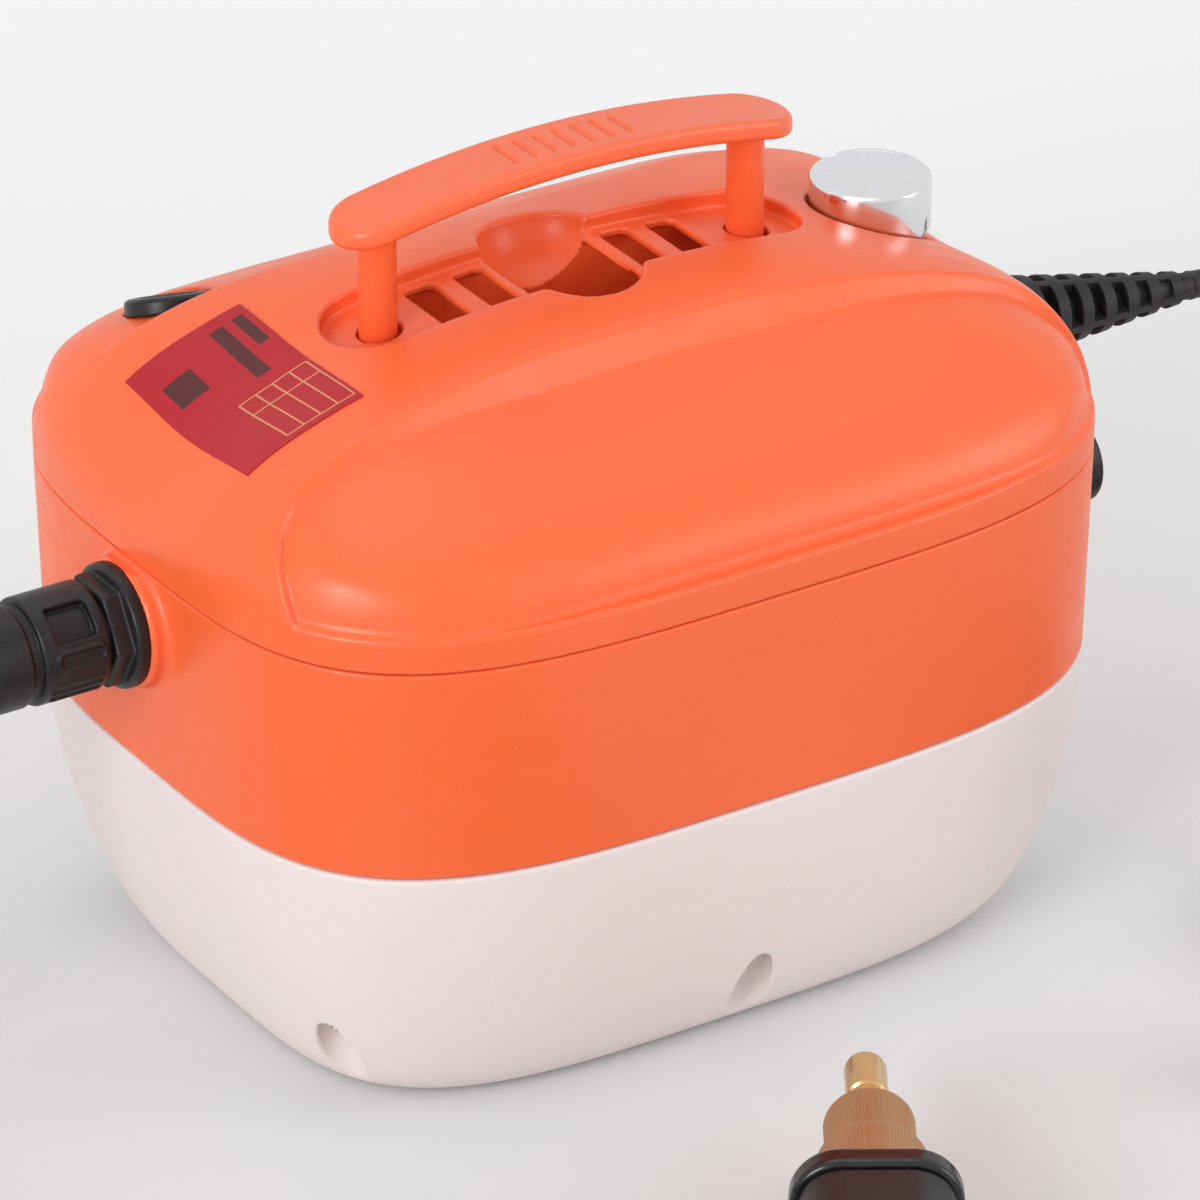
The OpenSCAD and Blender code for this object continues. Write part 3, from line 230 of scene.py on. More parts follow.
def skin(field, axes, relax=2):
    """Points, quads and normals of the closed surface where the field is 0, on a grid of lines."""
    shape = tuple(len(a) for a in axes)
    step = max(float(np.diff(a).max()) for a in axes)
    value = np.broadcast_to(field(*np.meshgrid(*axes, indexing="ij", sparse=True)), shape)
    cells = tuple(n - 1 for n in shape)
    total = int(np.prod(cells))
    hits = np.zeros(total)
    sums = np.zeros((3, total))
    quads = []
    for axis in range(3):
        first = [slice(None)] * 3
        second = [slice(None)] * 3
        first[axis] = slice(None, -1)
        second[axis] = slice(1, None)
        v0 = value[tuple(first)]
        v1 = value[tuple(second)]
        edges = np.argwhere((v0 < 0) != (v1 < 0))
        a = v0[tuple(edges.T)]
        b = v1[tuple(edges.T)]
        where = [axes[d][edges[:, d]] for d in range(3)]
        where[axis] = where[axis] + np.diff(axes[axis])[edges[:, axis]] * a / (a - b)
        corners = []
        for du, dv in ((0, 0), (-1, 0), (-1, -1), (0, -1)):
            cell = edges.copy()
            cell[:, (axis + 1) % 3] += du
            cell[:, (axis + 2) % 3] += dv
            if cell.min() < 0 or (cell >= np.array(cells)).any():
                raise ValueError("the surface leaves its grid")
            flat = np.ravel_multi_index(cell.T, cells)
            corners.append(flat)
            hits += np.bincount(flat, minlength=total)
            for d in range(3):
                sums[d] += np.bincount(flat, weights=where[d], minlength=total)
        quad = np.stack(corners, 1)
        quads.append(np.where((a < 0)[:, None], quad, quad[:, ::-1]))
    used = np.flatnonzero(hits)
    points = (sums[:, used] / hits[used]).T
    index = np.full(total, -1)
    index[used] = np.arange(len(used))
    quads = index[np.concatenate(quads)]
    for turn in range(relax + 2):
        if turn < relax:
            points = even_out(points, quads)
        slope = gradient(field, points)
        size = np.maximum((slope * slope).sum(1), 1e-3)
        move = np.clip(field(*points.T) / size, -step, step)
        points = points - slope * move[:, None]
    slope = gradient(field, points)
    return points, quads, slope / np.maximum(np.linalg.norm(slope, axis=1), 1e-6)[:, None]


def even_out(points, quads):
    """Moves each point half way to the middle of its neighbours."""
    sums = np.zeros_like(points)
    count = np.zeros(len(points))
    for k in range(4):
        a, b = quads[:, k], quads[:, (k + 1) % 4]
        for d in range(3):
            sums[:, d] += np.bincount(a, weights=points[b, d], minlength=len(points))
            sums[:, d] += np.bincount(b, weights=points[a, d], minlength=len(points))
        count += np.bincount(a, minlength=len(points)) + np.bincount(b, minlength=len(points))
    return 0.5 * points + 0.5 * sums / count[:, None]


def gradient(field, points, e=0.02):
    out = np.empty_like(points)
    for d in range(3):
        ahead = points.copy()
        back = points.copy()
        ahead[:, d] += e
        back[:, d] -= e
        out[:, d] = (field(*ahead.T) - field(*back.T)) / (2 * e)
    return out


# Meshes and pieces


def one_foot(points, quads, level):
    """Quads with those that lie flat below a level joined into one face."""
    flat = (points[quads][:, :, 2] < level).all(1)
    base = quads[flat]
    rim = set()
    for k in range(4):
        for a, b in zip(base[:, k].tolist(), base[:, (k + 1) % 4].tolist()):
            if (b, a) in rim:
                rim.remove((b, a))
            else:
                rim.add((a, b))
    after = dict(rim)
    loop = [next(iter(after))]
    while after[loop[-1]] != loop[0]:
        loop.append(after[loop[-1]])
    return quads[~flat].tolist() + [loop]


def skin_mesh(name, field, low, high, step, relax=2, near=((), (), ()), level=None):
    """Mesh of a field in millimetres, with the field's own normals; closer in the near stretches."""
    axes = [graded(low[d], high[d], step, near[d]) for d in range(3)]
    points, faces, normals = skin(field, axes, relax)
    faces = faces.tolist() if level is None else one_foot(points, faces, level)
    mesh = bpy.data.meshes.new(name)
    if level is not None:
        used = sorted({i for f in faces for i in f})
        fresh = {old: new for new, old in enumerate(used)}
        points, normals = points[used], normals[used]
        faces = [[fresh[i] for i in f] for f in faces]
    mesh.from_pydata((points * MM).tolist(), [], faces)
    mesh.polygons.foreach_set("use_smooth", np.ones(len(mesh.polygons), bool))
    mesh.normals_split_custom_set_from_vertices(normals.tolist())
    return mesh


def lathe_data(profile, sides):
    """Points and faces turned around Z from (radius, height) points; the ends close on the axis."""
    points, faces, rings = [], [], []
    for r, z in profile:
        if r < 1e-6:
            rings.append([len(points)])
            points.append((0, 0, z))
        else:
            rings.append(list(range(len(points), len(points) + sides)))
            turns = [2 * math.pi * k / sides for k in range(sides)]
            points += [(r * math.cos(turn), r * math.sin(turn), z) for turn in turns]
    for a, b in zip(rings, rings[1:]):
        for k in range(sides):
            j = (k + 1) % sides
            if len(a) == 1:
                faces.append((a[0], b[j], b[k]))
            elif len(b) == 1:
                faces.append((a[k], a[j], b[0]))
            else:
                faces.append((a[k], a[j], b[j], b[k]))
    return points, faces


def round_off(profile, radius, steps=4):
    """Profile with each inner corner replaced by a short arc."""
    out = [profile[0]]
    for a, b, c in zip(profile, profile[1:], profile[2:]):
        p, q, s = np.array(a, float), np.array(b, float), np.array(c, float)
        cut = min(radius, 0.45 * np.linalg.norm(p - q), 0.45 * np.linalg.norm(s - q))
        start = q + (p - q) / np.linalg.norm(p - q) * cut
        end = q + (s - q) / np.linalg.norm(s - q) * cut
        for k in range(steps + 1):
            t = k / steps
            out.append(tuple((1 - t) ** 2 * start + 2 * t * (1 - t) * q + t * t * end))
    return out + [profile[-1]]


def data_mesh(name, parts, place, sharp=40):
    """Mesh from (points, faces) parts in millimetres, moved by a place matrix in millimetres."""
    mesh = bpy.data.meshes.new(name)
    points, faces = [], []
    for some, more in parts:
        base = len(points)
        points += [tuple(p) for p in some]
        faces += [tuple(base + i for i in f) for f in more]
    mesh.from_pydata(points, [], faces)
    mesh.transform(Matrix.Scale(MM, 4) @ place)
    mesh.polygons.foreach_set("use_smooth", np.ones(len(mesh.polygons), bool))
    mesh.set_sharp_from_angle(angle=math.radians(sharp))
    return mesh


def mesh_data(mesh):
    """Points and faces of a mesh made in millimetres."""
    return [tuple(v.co) for v in mesh.vertices], [tuple(p.vertices) for p in mesh.polygons]


def box_data(w, d, h, x=0, y=0, z=0, bevel=0.3):
    """Block with chamfered edges along its height, standing on z."""
    a, b = w / 2, d / 2
    c = min(bevel, a * 0.9, b * 0.9)
    ring = [(a, c - b), (a, b - c), (a - c, b), (c - a, b)]
    ring += [(-px, -py) for px, py in ring]
    levels = [(z, 1, 1), (z + h - c, 1, 1), (z + h, 1 - c / a, 1 - c / b)]
    points = [(x + px * sx, y + py * sy, pz) for pz, sx, sy in levels for px, py in ring]
    faces = [tuple(reversed(range(8))), tuple(range(16, 24))]
    for low in (0, 8):
        for k in range(8):
            j = (k + 1) % 8
            faces.append((low + k, low + j, low + 8 + j, low + 8 + k))
    return points, faces


def placed(name, data):
    """New object of some data in the scene."""
    made = bpy.data.objects.new(name, data)
    bpy.context.scene.collection.objects.link(made)
    return made


def piece(name, mesh, replaced, *finishes, body="machine", slot=None):
    """Object of a finished mesh that rides on a body and stands for CAD nodes."""
    mesh.materials.clear()
    for finish in finishes:
        mesh.materials.append(finish_named(finish))
    made = placed(name, mesh)
    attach(made, body)
    if replaced:
        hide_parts(*replaced)
    return made


def turned(origin, axis):
    """Place matrix in millimetres that stands Z along an axis."""
    stand = Vector(axis).to_track_quat("Z", "Y").to_matrix().to_4x4()
    return Matrix.Translation(Vector(origin)) @ stand


# Geometry Nodes


class Tree:
    """Adds nodes to a node tree and wires them by socket."""

    def __init__(self, tree):
        self.tree = tree

    def put(self, socket, value):
        """Links a socket to another one, or sets its value."""
        if isinstance(value, bpy.types.NodeSocket):
            self.tree.links.new(value, socket)
        else:
            socket.default_value = value

    def add(self, kind, ins=None, **settings):
        node = self.tree.nodes.new(kind)
        for name, value in settings.items():
            setattr(node, name, value)
        for key, value in (ins or {}).items():
            self.put(node.inputs[key], value)
        return node

    def math(self, operation, a, b=0.0, c=0.0):
        return self.add("ShaderNodeMath", {0: a, 1: b, 2: c}, operation=operation).outputs[0]

    def noise(self, vector, scale, detail, **more):
        ins = {"Vector": vector, "Scale": scale, "Detail": detail, **more}
        return self.add("ShaderNodeTexNoise", ins).outputs["Fac"]


def shape_tree(name, inputs):
    """Helper, inputs and outputs of a new Geometry Nodes tree."""
    tree = bpy.data.node_groups.new(name, "GeometryNodeTree")
    for label, kind in {"Geometry": "Geometry", **inputs}.items():
        tree.interface.new_socket(label, in_out="INPUT", socket_type="NodeSocket" + kind)
    tree.interface.new_socket("Geometry", in_out="OUTPUT", socket_type="NodeSocketGeometry")
    t = Tree(tree)
    return t, t.add("NodeGroupInput").outputs, t.add("NodeGroupOutput").inputs


def painted(t, shape, start, end):
    """Ends a tree with real copies in its finish."""
    real = t.add("GeometryNodeRealizeInstances", {"Geometry": shape})
    ins = {"Geometry": real.outputs[0], "Material": start["Finish"]}
    t.put(end[0], t.add("GeometryNodeSetMaterial", ins).outputs[0])
    return t.tree


def ring_tree(name):
    """Tree that sets equal copies of a mesh around Z."""
    t, start, end = shape_tree(name, {"Count": "Int", "Finish": "Material"})
    points = t.add("GeometryNodePoints", {"Count": start["Count"]})
    share = t.math("DIVIDE", t.add("GeometryNodeInputIndex").outputs[0], start["Count"])
    spin = t.add("ShaderNodeCombineXYZ", {"Z": t.math("MULTIPLY", share, 2 * math.pi)})
    ins = {"Points": points.outputs[0], "Instance": start["Geometry"], "Rotation": spin.outputs[0]}
    copies = t.add("GeometryNodeInstanceOnPoints", ins)
    return painted(t, copies.outputs[0], start, end)


def sweep_tree(name):
    """Tree that sweeps a round section along a curve, with rounded ribs around it."""
    lengths = dict.fromkeys(("Radius", "Rib Depth", "Rib Pitch", "Step"), "Float")
    t, start, end = shape_tree(name, {**lengths, "Sides": "Int", "Finish": "Material"})
    ins = {"Curve": start["Geometry"], "Length": start["Step"]}
    fine = t.add("GeometryNodeResampleCurve", ins, mode="LENGTH")
    run = t.add("GeometryNodeSplineParameter").outputs["Length"]
    turn = t.math("MULTIPLY", t.math("DIVIDE", run, start["Rib Pitch"]), 2 * math.pi)
    wave = t.math("MULTIPLY_ADD", t.math("COSINE", turn), 0.5, 0.5)
    share = t.math("DIVIDE", start["Rib Depth"], start["Radius"])
    scale = t.math("SUBTRACT", 1.0, t.math("MULTIPLY", t.math("POWER", wave, 1.6), share))
    ins = {"Resolution": start["Sides"], "Radius": start["Radius"]}
    section = t.add("GeometryNodeCurvePrimitiveCircle", ins).outputs["Curve"]
    ins = {"Curve": fine.outputs[0], "Profile Curve": section, "Scale": scale, "Fill Caps": True}
    tube = t.add("GeometryNodeCurveToMesh", ins)
    smooth = t.add("GeometryNodeSetShadeSmooth", {"Geometry": tube.outputs[0]})
    return painted(t, smooth.outputs[0], start, end)


def grown(tree_name, make, data, values):
    """Plain mesh that a tree makes from mesh or curve data."""
    tree = bpy.data.node_groups.get(tree_name) or make(tree_name)
    source = placed("source", data)
    modifier = source.modifiers.new("shape", "NODES")
    modifier.node_group = tree
    for item in tree.interface.items_tree:
        if item.item_type == "SOCKET" and item.in_out == "INPUT" and item.name in values:
            modifier[item.identifier] = values[item.name]
    depsgraph = bpy.context.evaluated_depsgraph_get()
    mesh = bpy.data.meshes.new_from_object(source.evaluated_get(depsgraph))
    source.modifiers.remove(modifier)
    bpy.data.objects.remove(source)
    return mesh


def ring_of(part, count, finish):
    """Points and faces of a part in millimetres, copied around Z."""
    mesh = bpy.data.meshes.new("part")
    mesh.from_pydata([tuple(p) for p in part[0]], [], part[1])
    values = {"Count": count, "Finish": finish_named(finish)}
    return mesh_data(grown("Ring of Copies", ring_tree, mesh, values))


def swept(path, diameter, depth, pitch, step, sides, finish):
    """Mesh in metres of a line swept along a path in millimetres."""
    data = bpy.data.curves.new("path", "CURVE")
    data.dimensions = "3D"
    spline = data.splines.new("POLY")
    spline.points.add(len(path) - 1)
    for point, at in zip(spline.points, path):
        point.co = (at[0] * MM, at[1] * MM, at[2] * MM, 1)
    values = {"Radius": diameter / 2 * MM, "Rib Depth": depth * MM, "Rib Pitch": pitch * MM}
    values.update({"Step": step * MM, "Sides": sides, "Finish": finish_named(finish)})
    return grown("Swept Line", sweep_tree, data, values)


def smooth_route(route, steps):
    """Points of a smooth curve through a route, some steps to each stretch."""
    p = [np.array(q, float) for q in route]
    out = []
    for i in range(len(p) - 1):
        a, b, c, d = p[max(0, i - 1)], p[i], p[i + 1], p[min(len(p) - 1, i + 2)]
        for j in range(steps):
            t = j / steps
            bend, twist = 2 * a - 5 * b + 4 * c - d, 3 * b - a - 3 * c + d
            out.append((2 * b + (c - a) * t + bend * t * t + twist * t ** 3) / 2)
    return out + [p[-1]]


# Finishes


def effect_group(name, numbers, results):
    """Helper, inputs and outputs of a new shader node group that works on a vector."""
    group = bpy.data.node_groups.new(name, "ShaderNodeTree")
    group.interface.new_socket("Vector", in_out="INPUT", socket_type="NodeSocketVector")
    for label, value in numbers.items():
        socket = group.interface.new_socket(label, in_out="INPUT", socket_type="NodeSocketFloat")
        socket.default_value = value
    for label in results:
        group.interface.new_socket(label, in_out="OUTPUT", socket_type="NodeSocketFloat")
    t = Tree(group)
    return t, t.add("NodeGroupInput").outputs, t.add("NodeGroupOutput").inputs


def moulded_grain_group():
    """Fine pebbled grain of a tool surface, with slow waves of flow under it."""
    scales = {"Grain Scale": 900.0, "Flow Scale": 18.0}
    t, start, end = effect_group("Moulded Grain", scales, ("Height", "Flow"))
    t.put(end["Height"], t.noise(start["Vector"], start["Grain Scale"], 2.0))
    t.put(end["Flow"], t.noise(start["Vector"], start["Flow Scale"], 3.0, Roughness=0.55))


def handling_group():
    """Faint wipe marks and dust of a handled thing, as a roughness change and a mask."""
    t, start, end = effect_group("Handling Marks", {"Scale": 40.0}, ("Wipe", "Dust"))
    ins = {"Vector": start["Vector"], "Scale": (1.0, 2.5, 4.0), "Rotation": (0.3, 0.2, 0.9)}
    stretch = t.add("ShaderNodeMapping", ins)
    specks = t.noise(start["Vector"], t.math("MULTIPLY", start["Scale"], 14.0), 1.0)
    t.put(end["Wipe"], t.noise(stretch.outputs[0], start["Scale"], 4.0))
    t.put(end["Dust"], span(t, specks, 0, 1, 0.66, 0.78))


def worn_edge_group():
    """Mask of edges, brighter where a corner is rubbed."""
    t, start, end = effect_group("Rubbed Edge", {"Low": 0.53, "High": 0.62}, ("Edge",))
    corner = t.add("ShaderNodeNewGeometry").outputs["Pointiness"]
    mask = span(t, corner, 0, 1, start["Low"], start["High"])
    t.put(end["Edge"], t.math("MULTIPLY", mask, t.noise(start["Vector"], 60.0, 3.0)))


def turned_lines_group():
    """Lines of a lathe tool around an axis of the piece, and a tone that changes in lobes by angle
    around it: partly the metal's own streaking, partly a painted sheen that stands in for the bow-tie
    highlight of spun metal.
    """
    counts = {"Rings": 1500.0, "Streaks": 6.0}
    t, start, end = effect_group("Turned Lines", counts, ("Line", "Streak"))
    part = t.add("ShaderNodeSeparateXYZ", {0: start["Vector"]}).outputs
    radius = t.math("SQRT", t.math("ADD", *[t.math("MULTIPLY", part[d], part[d]) for d in "XY"]))
    angle = t.math("ARCTAN2", part["Y"], part["X"])
    legs = {}
    for axis, turn in (("X", "COSINE"), ("Y", "SINE")):
        legs[axis] = t.math("MULTIPLY", t.math(turn, angle), start["Streaks"])
    around = t.add("ShaderNodeCombineXYZ", legs)
    run = t.math("MULTIPLY", t.math("ADD", radius, part["Z"]), start["Rings"])
    ins = {"W": run, "Scale": 1.0, "Detail": 2.0}
    rings = t.add("ShaderNodeTexNoise", ins, noise_dimensions="1D")
    t.put(end["Line"], rings.outputs["Fac"])
    # Painted sheen and real streaking: noise on the angle around the axis gives light and dark lobes
    # like a spun highlight.
    t.put(end["Streak"], t.noise(around.outputs[0], 1.0, 5.0, Roughness=0.65))


def new_finish(name):
    """Empty material with its tree helper, Principled shader and Object coordinates."""
    finish = bpy.data.materials.new("finish_" + name)
    finish.use_nodes = True
    finish.node_tree.nodes.clear()
    t = Tree(finish.node_tree)
    shader = t.add("ShaderNodeBsdfPrincipled")
    t.add("ShaderNodeOutputMaterial", {"Surface": shader.outputs[0]})
    where = t.add("ShaderNodeTexCoord").outputs["Object"]
    return t, shader, where


def effect(t, name, where, **values):
    """Outputs of a shared effect at some coordinates."""
    node = t.add("ShaderNodeGroup", node_tree=bpy.data.node_groups[name])
    wire(t, node, Vector=where, **values)
    return node.outputs


def blend_colour(t, factor, a, b):
    node = t.add("ShaderNodeMix", {0: factor, 6: a, 7: b}, data_type="RGBA")
    return node.outputs[2]


def span(t, value, low, high, from_min=0.3, from_max=0.7):
    ins = {"Value": value, "From Min": from_min, "From Max": from_max, "To Min": low, "To Max": high}
    return t.add("ShaderNodeMapRange", ins).outputs["Result"]


def bump(t, shader, height, strength, distance):
    ins = {"Height": height, "Strength": strength, "Distance": distance}
    t.put(shader.inputs["Normal"], t.add("ShaderNodeBump", ins).outputs[0])


def wire(t, node, **sockets):
    """Fills a node's inputs by name, with _ for a space."""
    for label, value in sockets.items():
        t.put(node.inputs[label.replace("_", " ")], value)


def finish_named(name):
    return bpy.data.materials["finish_" + name]


def shade(base, factor):
    return tuple(min(1, c * factor) for c in base[:3]) + (1,)


def moulding(name, base, rough, grain=900.0, depth=0.00002, flow=0.06, edge=0.5, **constant):
    """Moulded plastic or rubber: grain, flow colour, wipe marks, rubbed edges and dust."""
    t, shader, where = new_finish(name)
    grains = effect(t, "Moulded Grain", where, Grain_Scale=grain)
    marks = effect(t, "Handling Marks", where)
    corner = effect(t, "Rubbed Edge", where)
    body = blend_colour(t, grains["Flow"], shade(base, 1 - flow), shade(base, 1 + flow))
    rubbed = blend_colour(t, t.math("MULTIPLY", corner["Edge"], edge), body, shade(base, 1.5))
    dusty = blend_colour(t, t.math("MULTIPLY", marks["Dust"], 0.02), rubbed, (0.7, 0.68, 0.65, 1))
    gloss = span(t, marks["Wipe"], rough - 0.05, rough + 0.06)
    wire(t, shader, Base_Color=dusty, Roughness=gloss, **constant)
    bump(t, shader, grains["Height"], 0.6, depth)


def turned_metal(name, base, rough, centre, rings, streaks, sheen_contrast, turn=(0, 0, 0)):
    """Turned or spun metal: tool lines around the piece's own axis, and a colour that lightens and
    darkens in lobes around that axis, partly real streaking and partly a painted sheen.
    """
    t, shader, where = new_finish(name)
    ins = {"Vector": where, "Location": tuple(Vector(centre) * MM), "Rotation": turn}
    local = t.add("ShaderNodeMapping", ins, vector_type="TEXTURE")
    lines = effect(t, "Turned Lines", local.outputs[0], Rings=rings, Streaks=streaks)
    marks = effect(t, "Handling Marks", where, Scale=90.0)
    # Painted sheen: the base colour is lighter and darker in lobes around the axis, standing in for
    # the metal's bow-tie highlight as well as its streaking.
    tone = blend_colour(t, lines["Streak"], shade(base, 1 - sheen_contrast), shade(base, 1 + sheen_contrast))
    fine = t.math("MULTIPLY_ADD", lines["Line"], 0.12, t.math("MULTIPLY", marks["Wipe"], 0.08))
    wire(t, shader, Base_Color=tone, Metallic=1.0, Roughness=t.math("ADD", fine, rough - 0.1))
    bump(t, shader, lines["Line"], 0.35, 0.00001)


def plain_metal(name, base, rough, scale=220.0):
    """Plain sheet or cast metal with a soft cloudy grain."""
    t, shader, where = new_finish(name)
    grains = effect(t, "Moulded Grain", where, Grain_Scale=scale, Flow_Scale=60.0)
    marks = effect(t, "Handling Marks", where, Scale=80.0)
    tone = blend_colour(t, grains["Flow"], shade(base, 0.86), shade(base, 1.1))
    gloss = span(t, marks["Wipe"], rough - 0.06, rough + 0.08)
    wire(t, shader, Base_Color=tone, Metallic=1.0, Roughness=gloss)
    bump(t, shader, grains["Height"], 0.4, 0.00003)


def printed_plate(name, base):
    """Red film with plain dark blocks and an empty table of pale lines."""
    t, shader, where = new_finish(name)
    grains = effect(t, "Moulded Grain", where, Grain_Scale=1800.0)
    marks = effect(t, "Handling Marks", where)
    at = t.add("ShaderNodeSeparateXYZ", {0: where})

    def block(x, y, length, width):
        along = t.math("COMPARE", at.outputs["X"], x * MM, length / 2 * MM)
        return t.math("MULTIPLY", along, t.math("COMPARE", at.outputs["Y"], y * MM, width / 2 * MM))

    tone = blend_colour(t, grains["Flow"], shade(base, 0.92), shade(base, 1.08))
    blocks = [(-92.8, 14.3, 4.2, 26), (-109.3, 14.6, 8.6, 11), (-86.2, 20, 3.4, 15)]
    lines = [(-104.2 + 5.15 * k, -17.1, 0.5, 25.2) for k in range(5)]
    lines += [(-93.9, y, 20.6, 0.5) for y in (-4.5, -12, -29.7)]
    dark, pale = (0.035, 0.022, 0.024, 1), (0.70, 0.34, 0.16, 1)
    for marked, share, ink in ((blocks, 0.85, dark), (lines, 0.8, pale)):
        for each in marked:
            tone = blend_colour(t, t.math("MULTIPLY", block(*each), share), tone, ink)
    gloss = span(t, marks["Wipe"], 0.37, 0.48)
    wire(t, shader, Base_Color=tone, Roughness=gloss, Specular_IOR_Level=0.25)
    bump(t, shader, grains["Height"], 0.6, 0.000006)


def make_finishes():
    """All finishes, by the names of the slots and of the pieces that need their own."""
    for make in (moulded_grain_group, handling_group, worn_edge_group, turned_lines_group):
        make()
    orange, black, silver = colour("orange"), colour("black"), colour("silver")
    dull = {"Specular_IOR_Level": 0.35}
    coat = {"Coat_Weight": 0.35, "Coat_Roughness": 0.35}
    milk = {"Subsurface_Weight": 0.12, "Subsurface_Scale": 0.01}
    moulding("orange_shell", orange, 0.36, 1400.0, 0.000012, 0.035, 0.12)
    moulding("orange_handle", shade(orange, 0.98), 0.40, 1100.0, 0.000016, 0.04, 0.15, **coat)
    moulding("tank_white", colour("tank"), 0.40, 700.0, 0.00001, 0.03, 0.08, **milk)
    moulding("black_plastic", black, 0.38, 1300.0, 0.00002, 0.1, 0.5, **dull)
    moulding("black_gloss", shade(black, 0.8), 0.20, 1600.0, 0.000006, 0.08, 0.6)
    moulding("brown_panel", (0.030, 0.022, 0.020, 1), 0.55, 1000.0, 0.00002, 0.1, 0.3)
    moulding("black_rubber", shade(black, 1.3), 0.52, 900.0, 0.00003, 0.12, 0.4, **dull)
    moulding("grey_rubber", (0.10, 0.10, 0.10, 1), 0.6, 700.0, 0.00003, 0.1)
    moulding("white_plastic", (0.74, 0.71, 0.65, 1), 0.45)
    moulding("clear_tube", (0.62, 0.65, 0.66, 1), 0.3)
    moulding("blue_plastic", (0.05, 0.12, 0.30, 1), 0.45)
    moulding("board_green", (0.03, 0.16, 0.05, 1), 0.4, 300.0)
    printed_plate("label_red", colour("label"))
    plain_metal("steel", (0.56, 0.56, 0.57, 1), 0.32)
    plain_metal("cast_aluminium", (0.60, 0.60, 0.62, 1), 0.45, 400.0)
    # The knob, brass and nut finishes carry a painted sheen in their lobed tone.
    knob = (KNOB_X, 0, 190)
    turned_metal("knob_silver", silver, 0.16, knob, 2500.0, 5.0, 0.10)
    turned_metal("knob_chrome", shade(silver, 0.95), 0.13, knob, 400.0, 2.0, 0.04)
    turn = (0, math.radians(-90), GUN_TURN)
    turned_metal("brass", colour("brass"), 0.22, GUN_TIP, 900.0, 4.0, 0.12, turn)
    turned_metal("copper_nut", colour("copper"), 0.44, GUN_TIP, 1200.0, 60.0, 0.22, turn)


# Housing


def crown_rise(x, y):
    return CROWN * np.maximum(0, 1 - (y / CREASE_Y) ** 2) * np.maximum(0, 1 - (x / 95) ** 6)


def crease_line(x, a):
    """Half width of the raised spine at a place along it."""
    flare = np.maximum(0, (np.abs(x) - a + 23) / 15) ** 2
    return CREASE_Y + 3 + 0.06 * (np.hypot(x, 30) - 30) + 10 * flare


def low_dome(x, y, a, b):
    """Share of the low dome's reach at a place in plan, rounder across the body than along it."""
    along, across = np.abs(x / (a - 3)) ** 4.5, np.abs(y / (b - 6)) ** 4.5
    both = along + across + 1e-12
    return both ** ((1.8 + 2 * along / both) / 4.5)


def cover_outside(x, y, z):
    """Field of a low dome with a raised spine that runs over it and down both ends."""
    s = sizes()
    a, b, top = s.a, s.b, s.cover_height
    z = z - s.tank_height - s.band_height
    full = z - crown_rise(x, y) * np.clip((z - 30) / 20, 0, 1)
    rise = np.maximum(full - 5, 0)
    sag = 1.8 * np.minimum(1.4, (y / (CREASE_Y + 5)) ** 2) * np.exp(-((x / 60) ** 2))
    near = np.clip(np.abs(y) / 52, 0, 1)
    round_by = 2.2 + 0.45 * near * near * (3 - 2 * near)
    reach = outline(x, y, a, b, PLAN_N)
    fill = (reach ** round_by + (rise / (top - 5 - sag)) ** round_by) ** (1 / round_by)
    fill = np.maximum(fill, 1e-6)
    high = np.sqrt(x * x + y * y + rise * rise) * (1 - 1 / fill)
    tall = top - 17.5
    edge = crease_line(x, a)
    left = 1 - low_dome(x, edge, a, b)
    valley = LIP + tall * np.sqrt((left + np.sqrt(left * left + 0.06)) / 2)
    reach = np.minimum(1, outline(x, edge, a, b, PLAN_N))
    crest = 3 + (top - 7) * np.maximum(0, 1 - reach ** 2.55) ** (1 / 2.55)
    lift = np.clip(crest - 5.0 - valley, 0, 4)
    ramp = lift * (1 - np.clip((np.abs(y) - edge) / 17, 0, 1)) ** 2
    rise = np.maximum(z - ramp - LIP, 0)
    fill = np.maximum(np.sqrt(low_dome(x, y, a, b) + (rise / tall) ** 2), 1e-6)
    low = smooth_max(np.sqrt(x * x + y * y + rise * rise) * (1 - 1 / fill), high + 1.9, 1.2)
    low = smooth_min(low, z - LIP, 2.5)
    spine = 0.862 * (np.abs(y) - edge) + 0.507 * (z - valley - lift)
    return smooth_max(high, smooth_min(low, spine, 1.2), 1.5)


def filler_axes(x, y, z):
    """Distance from the filler's axis and height over its seat."""
    dx, dy, dz = x - FILLER[0], y - FILLER[1], z - FILLER[2]
    along = dx * FILLER_AXIS[0] + dy * FILLER_AXIS[1] + dz * FILLER_AXIS[2]
    return np.sqrt(np.maximum(dx * dx + dy * dy + dz * dz - along * along, 0)), along


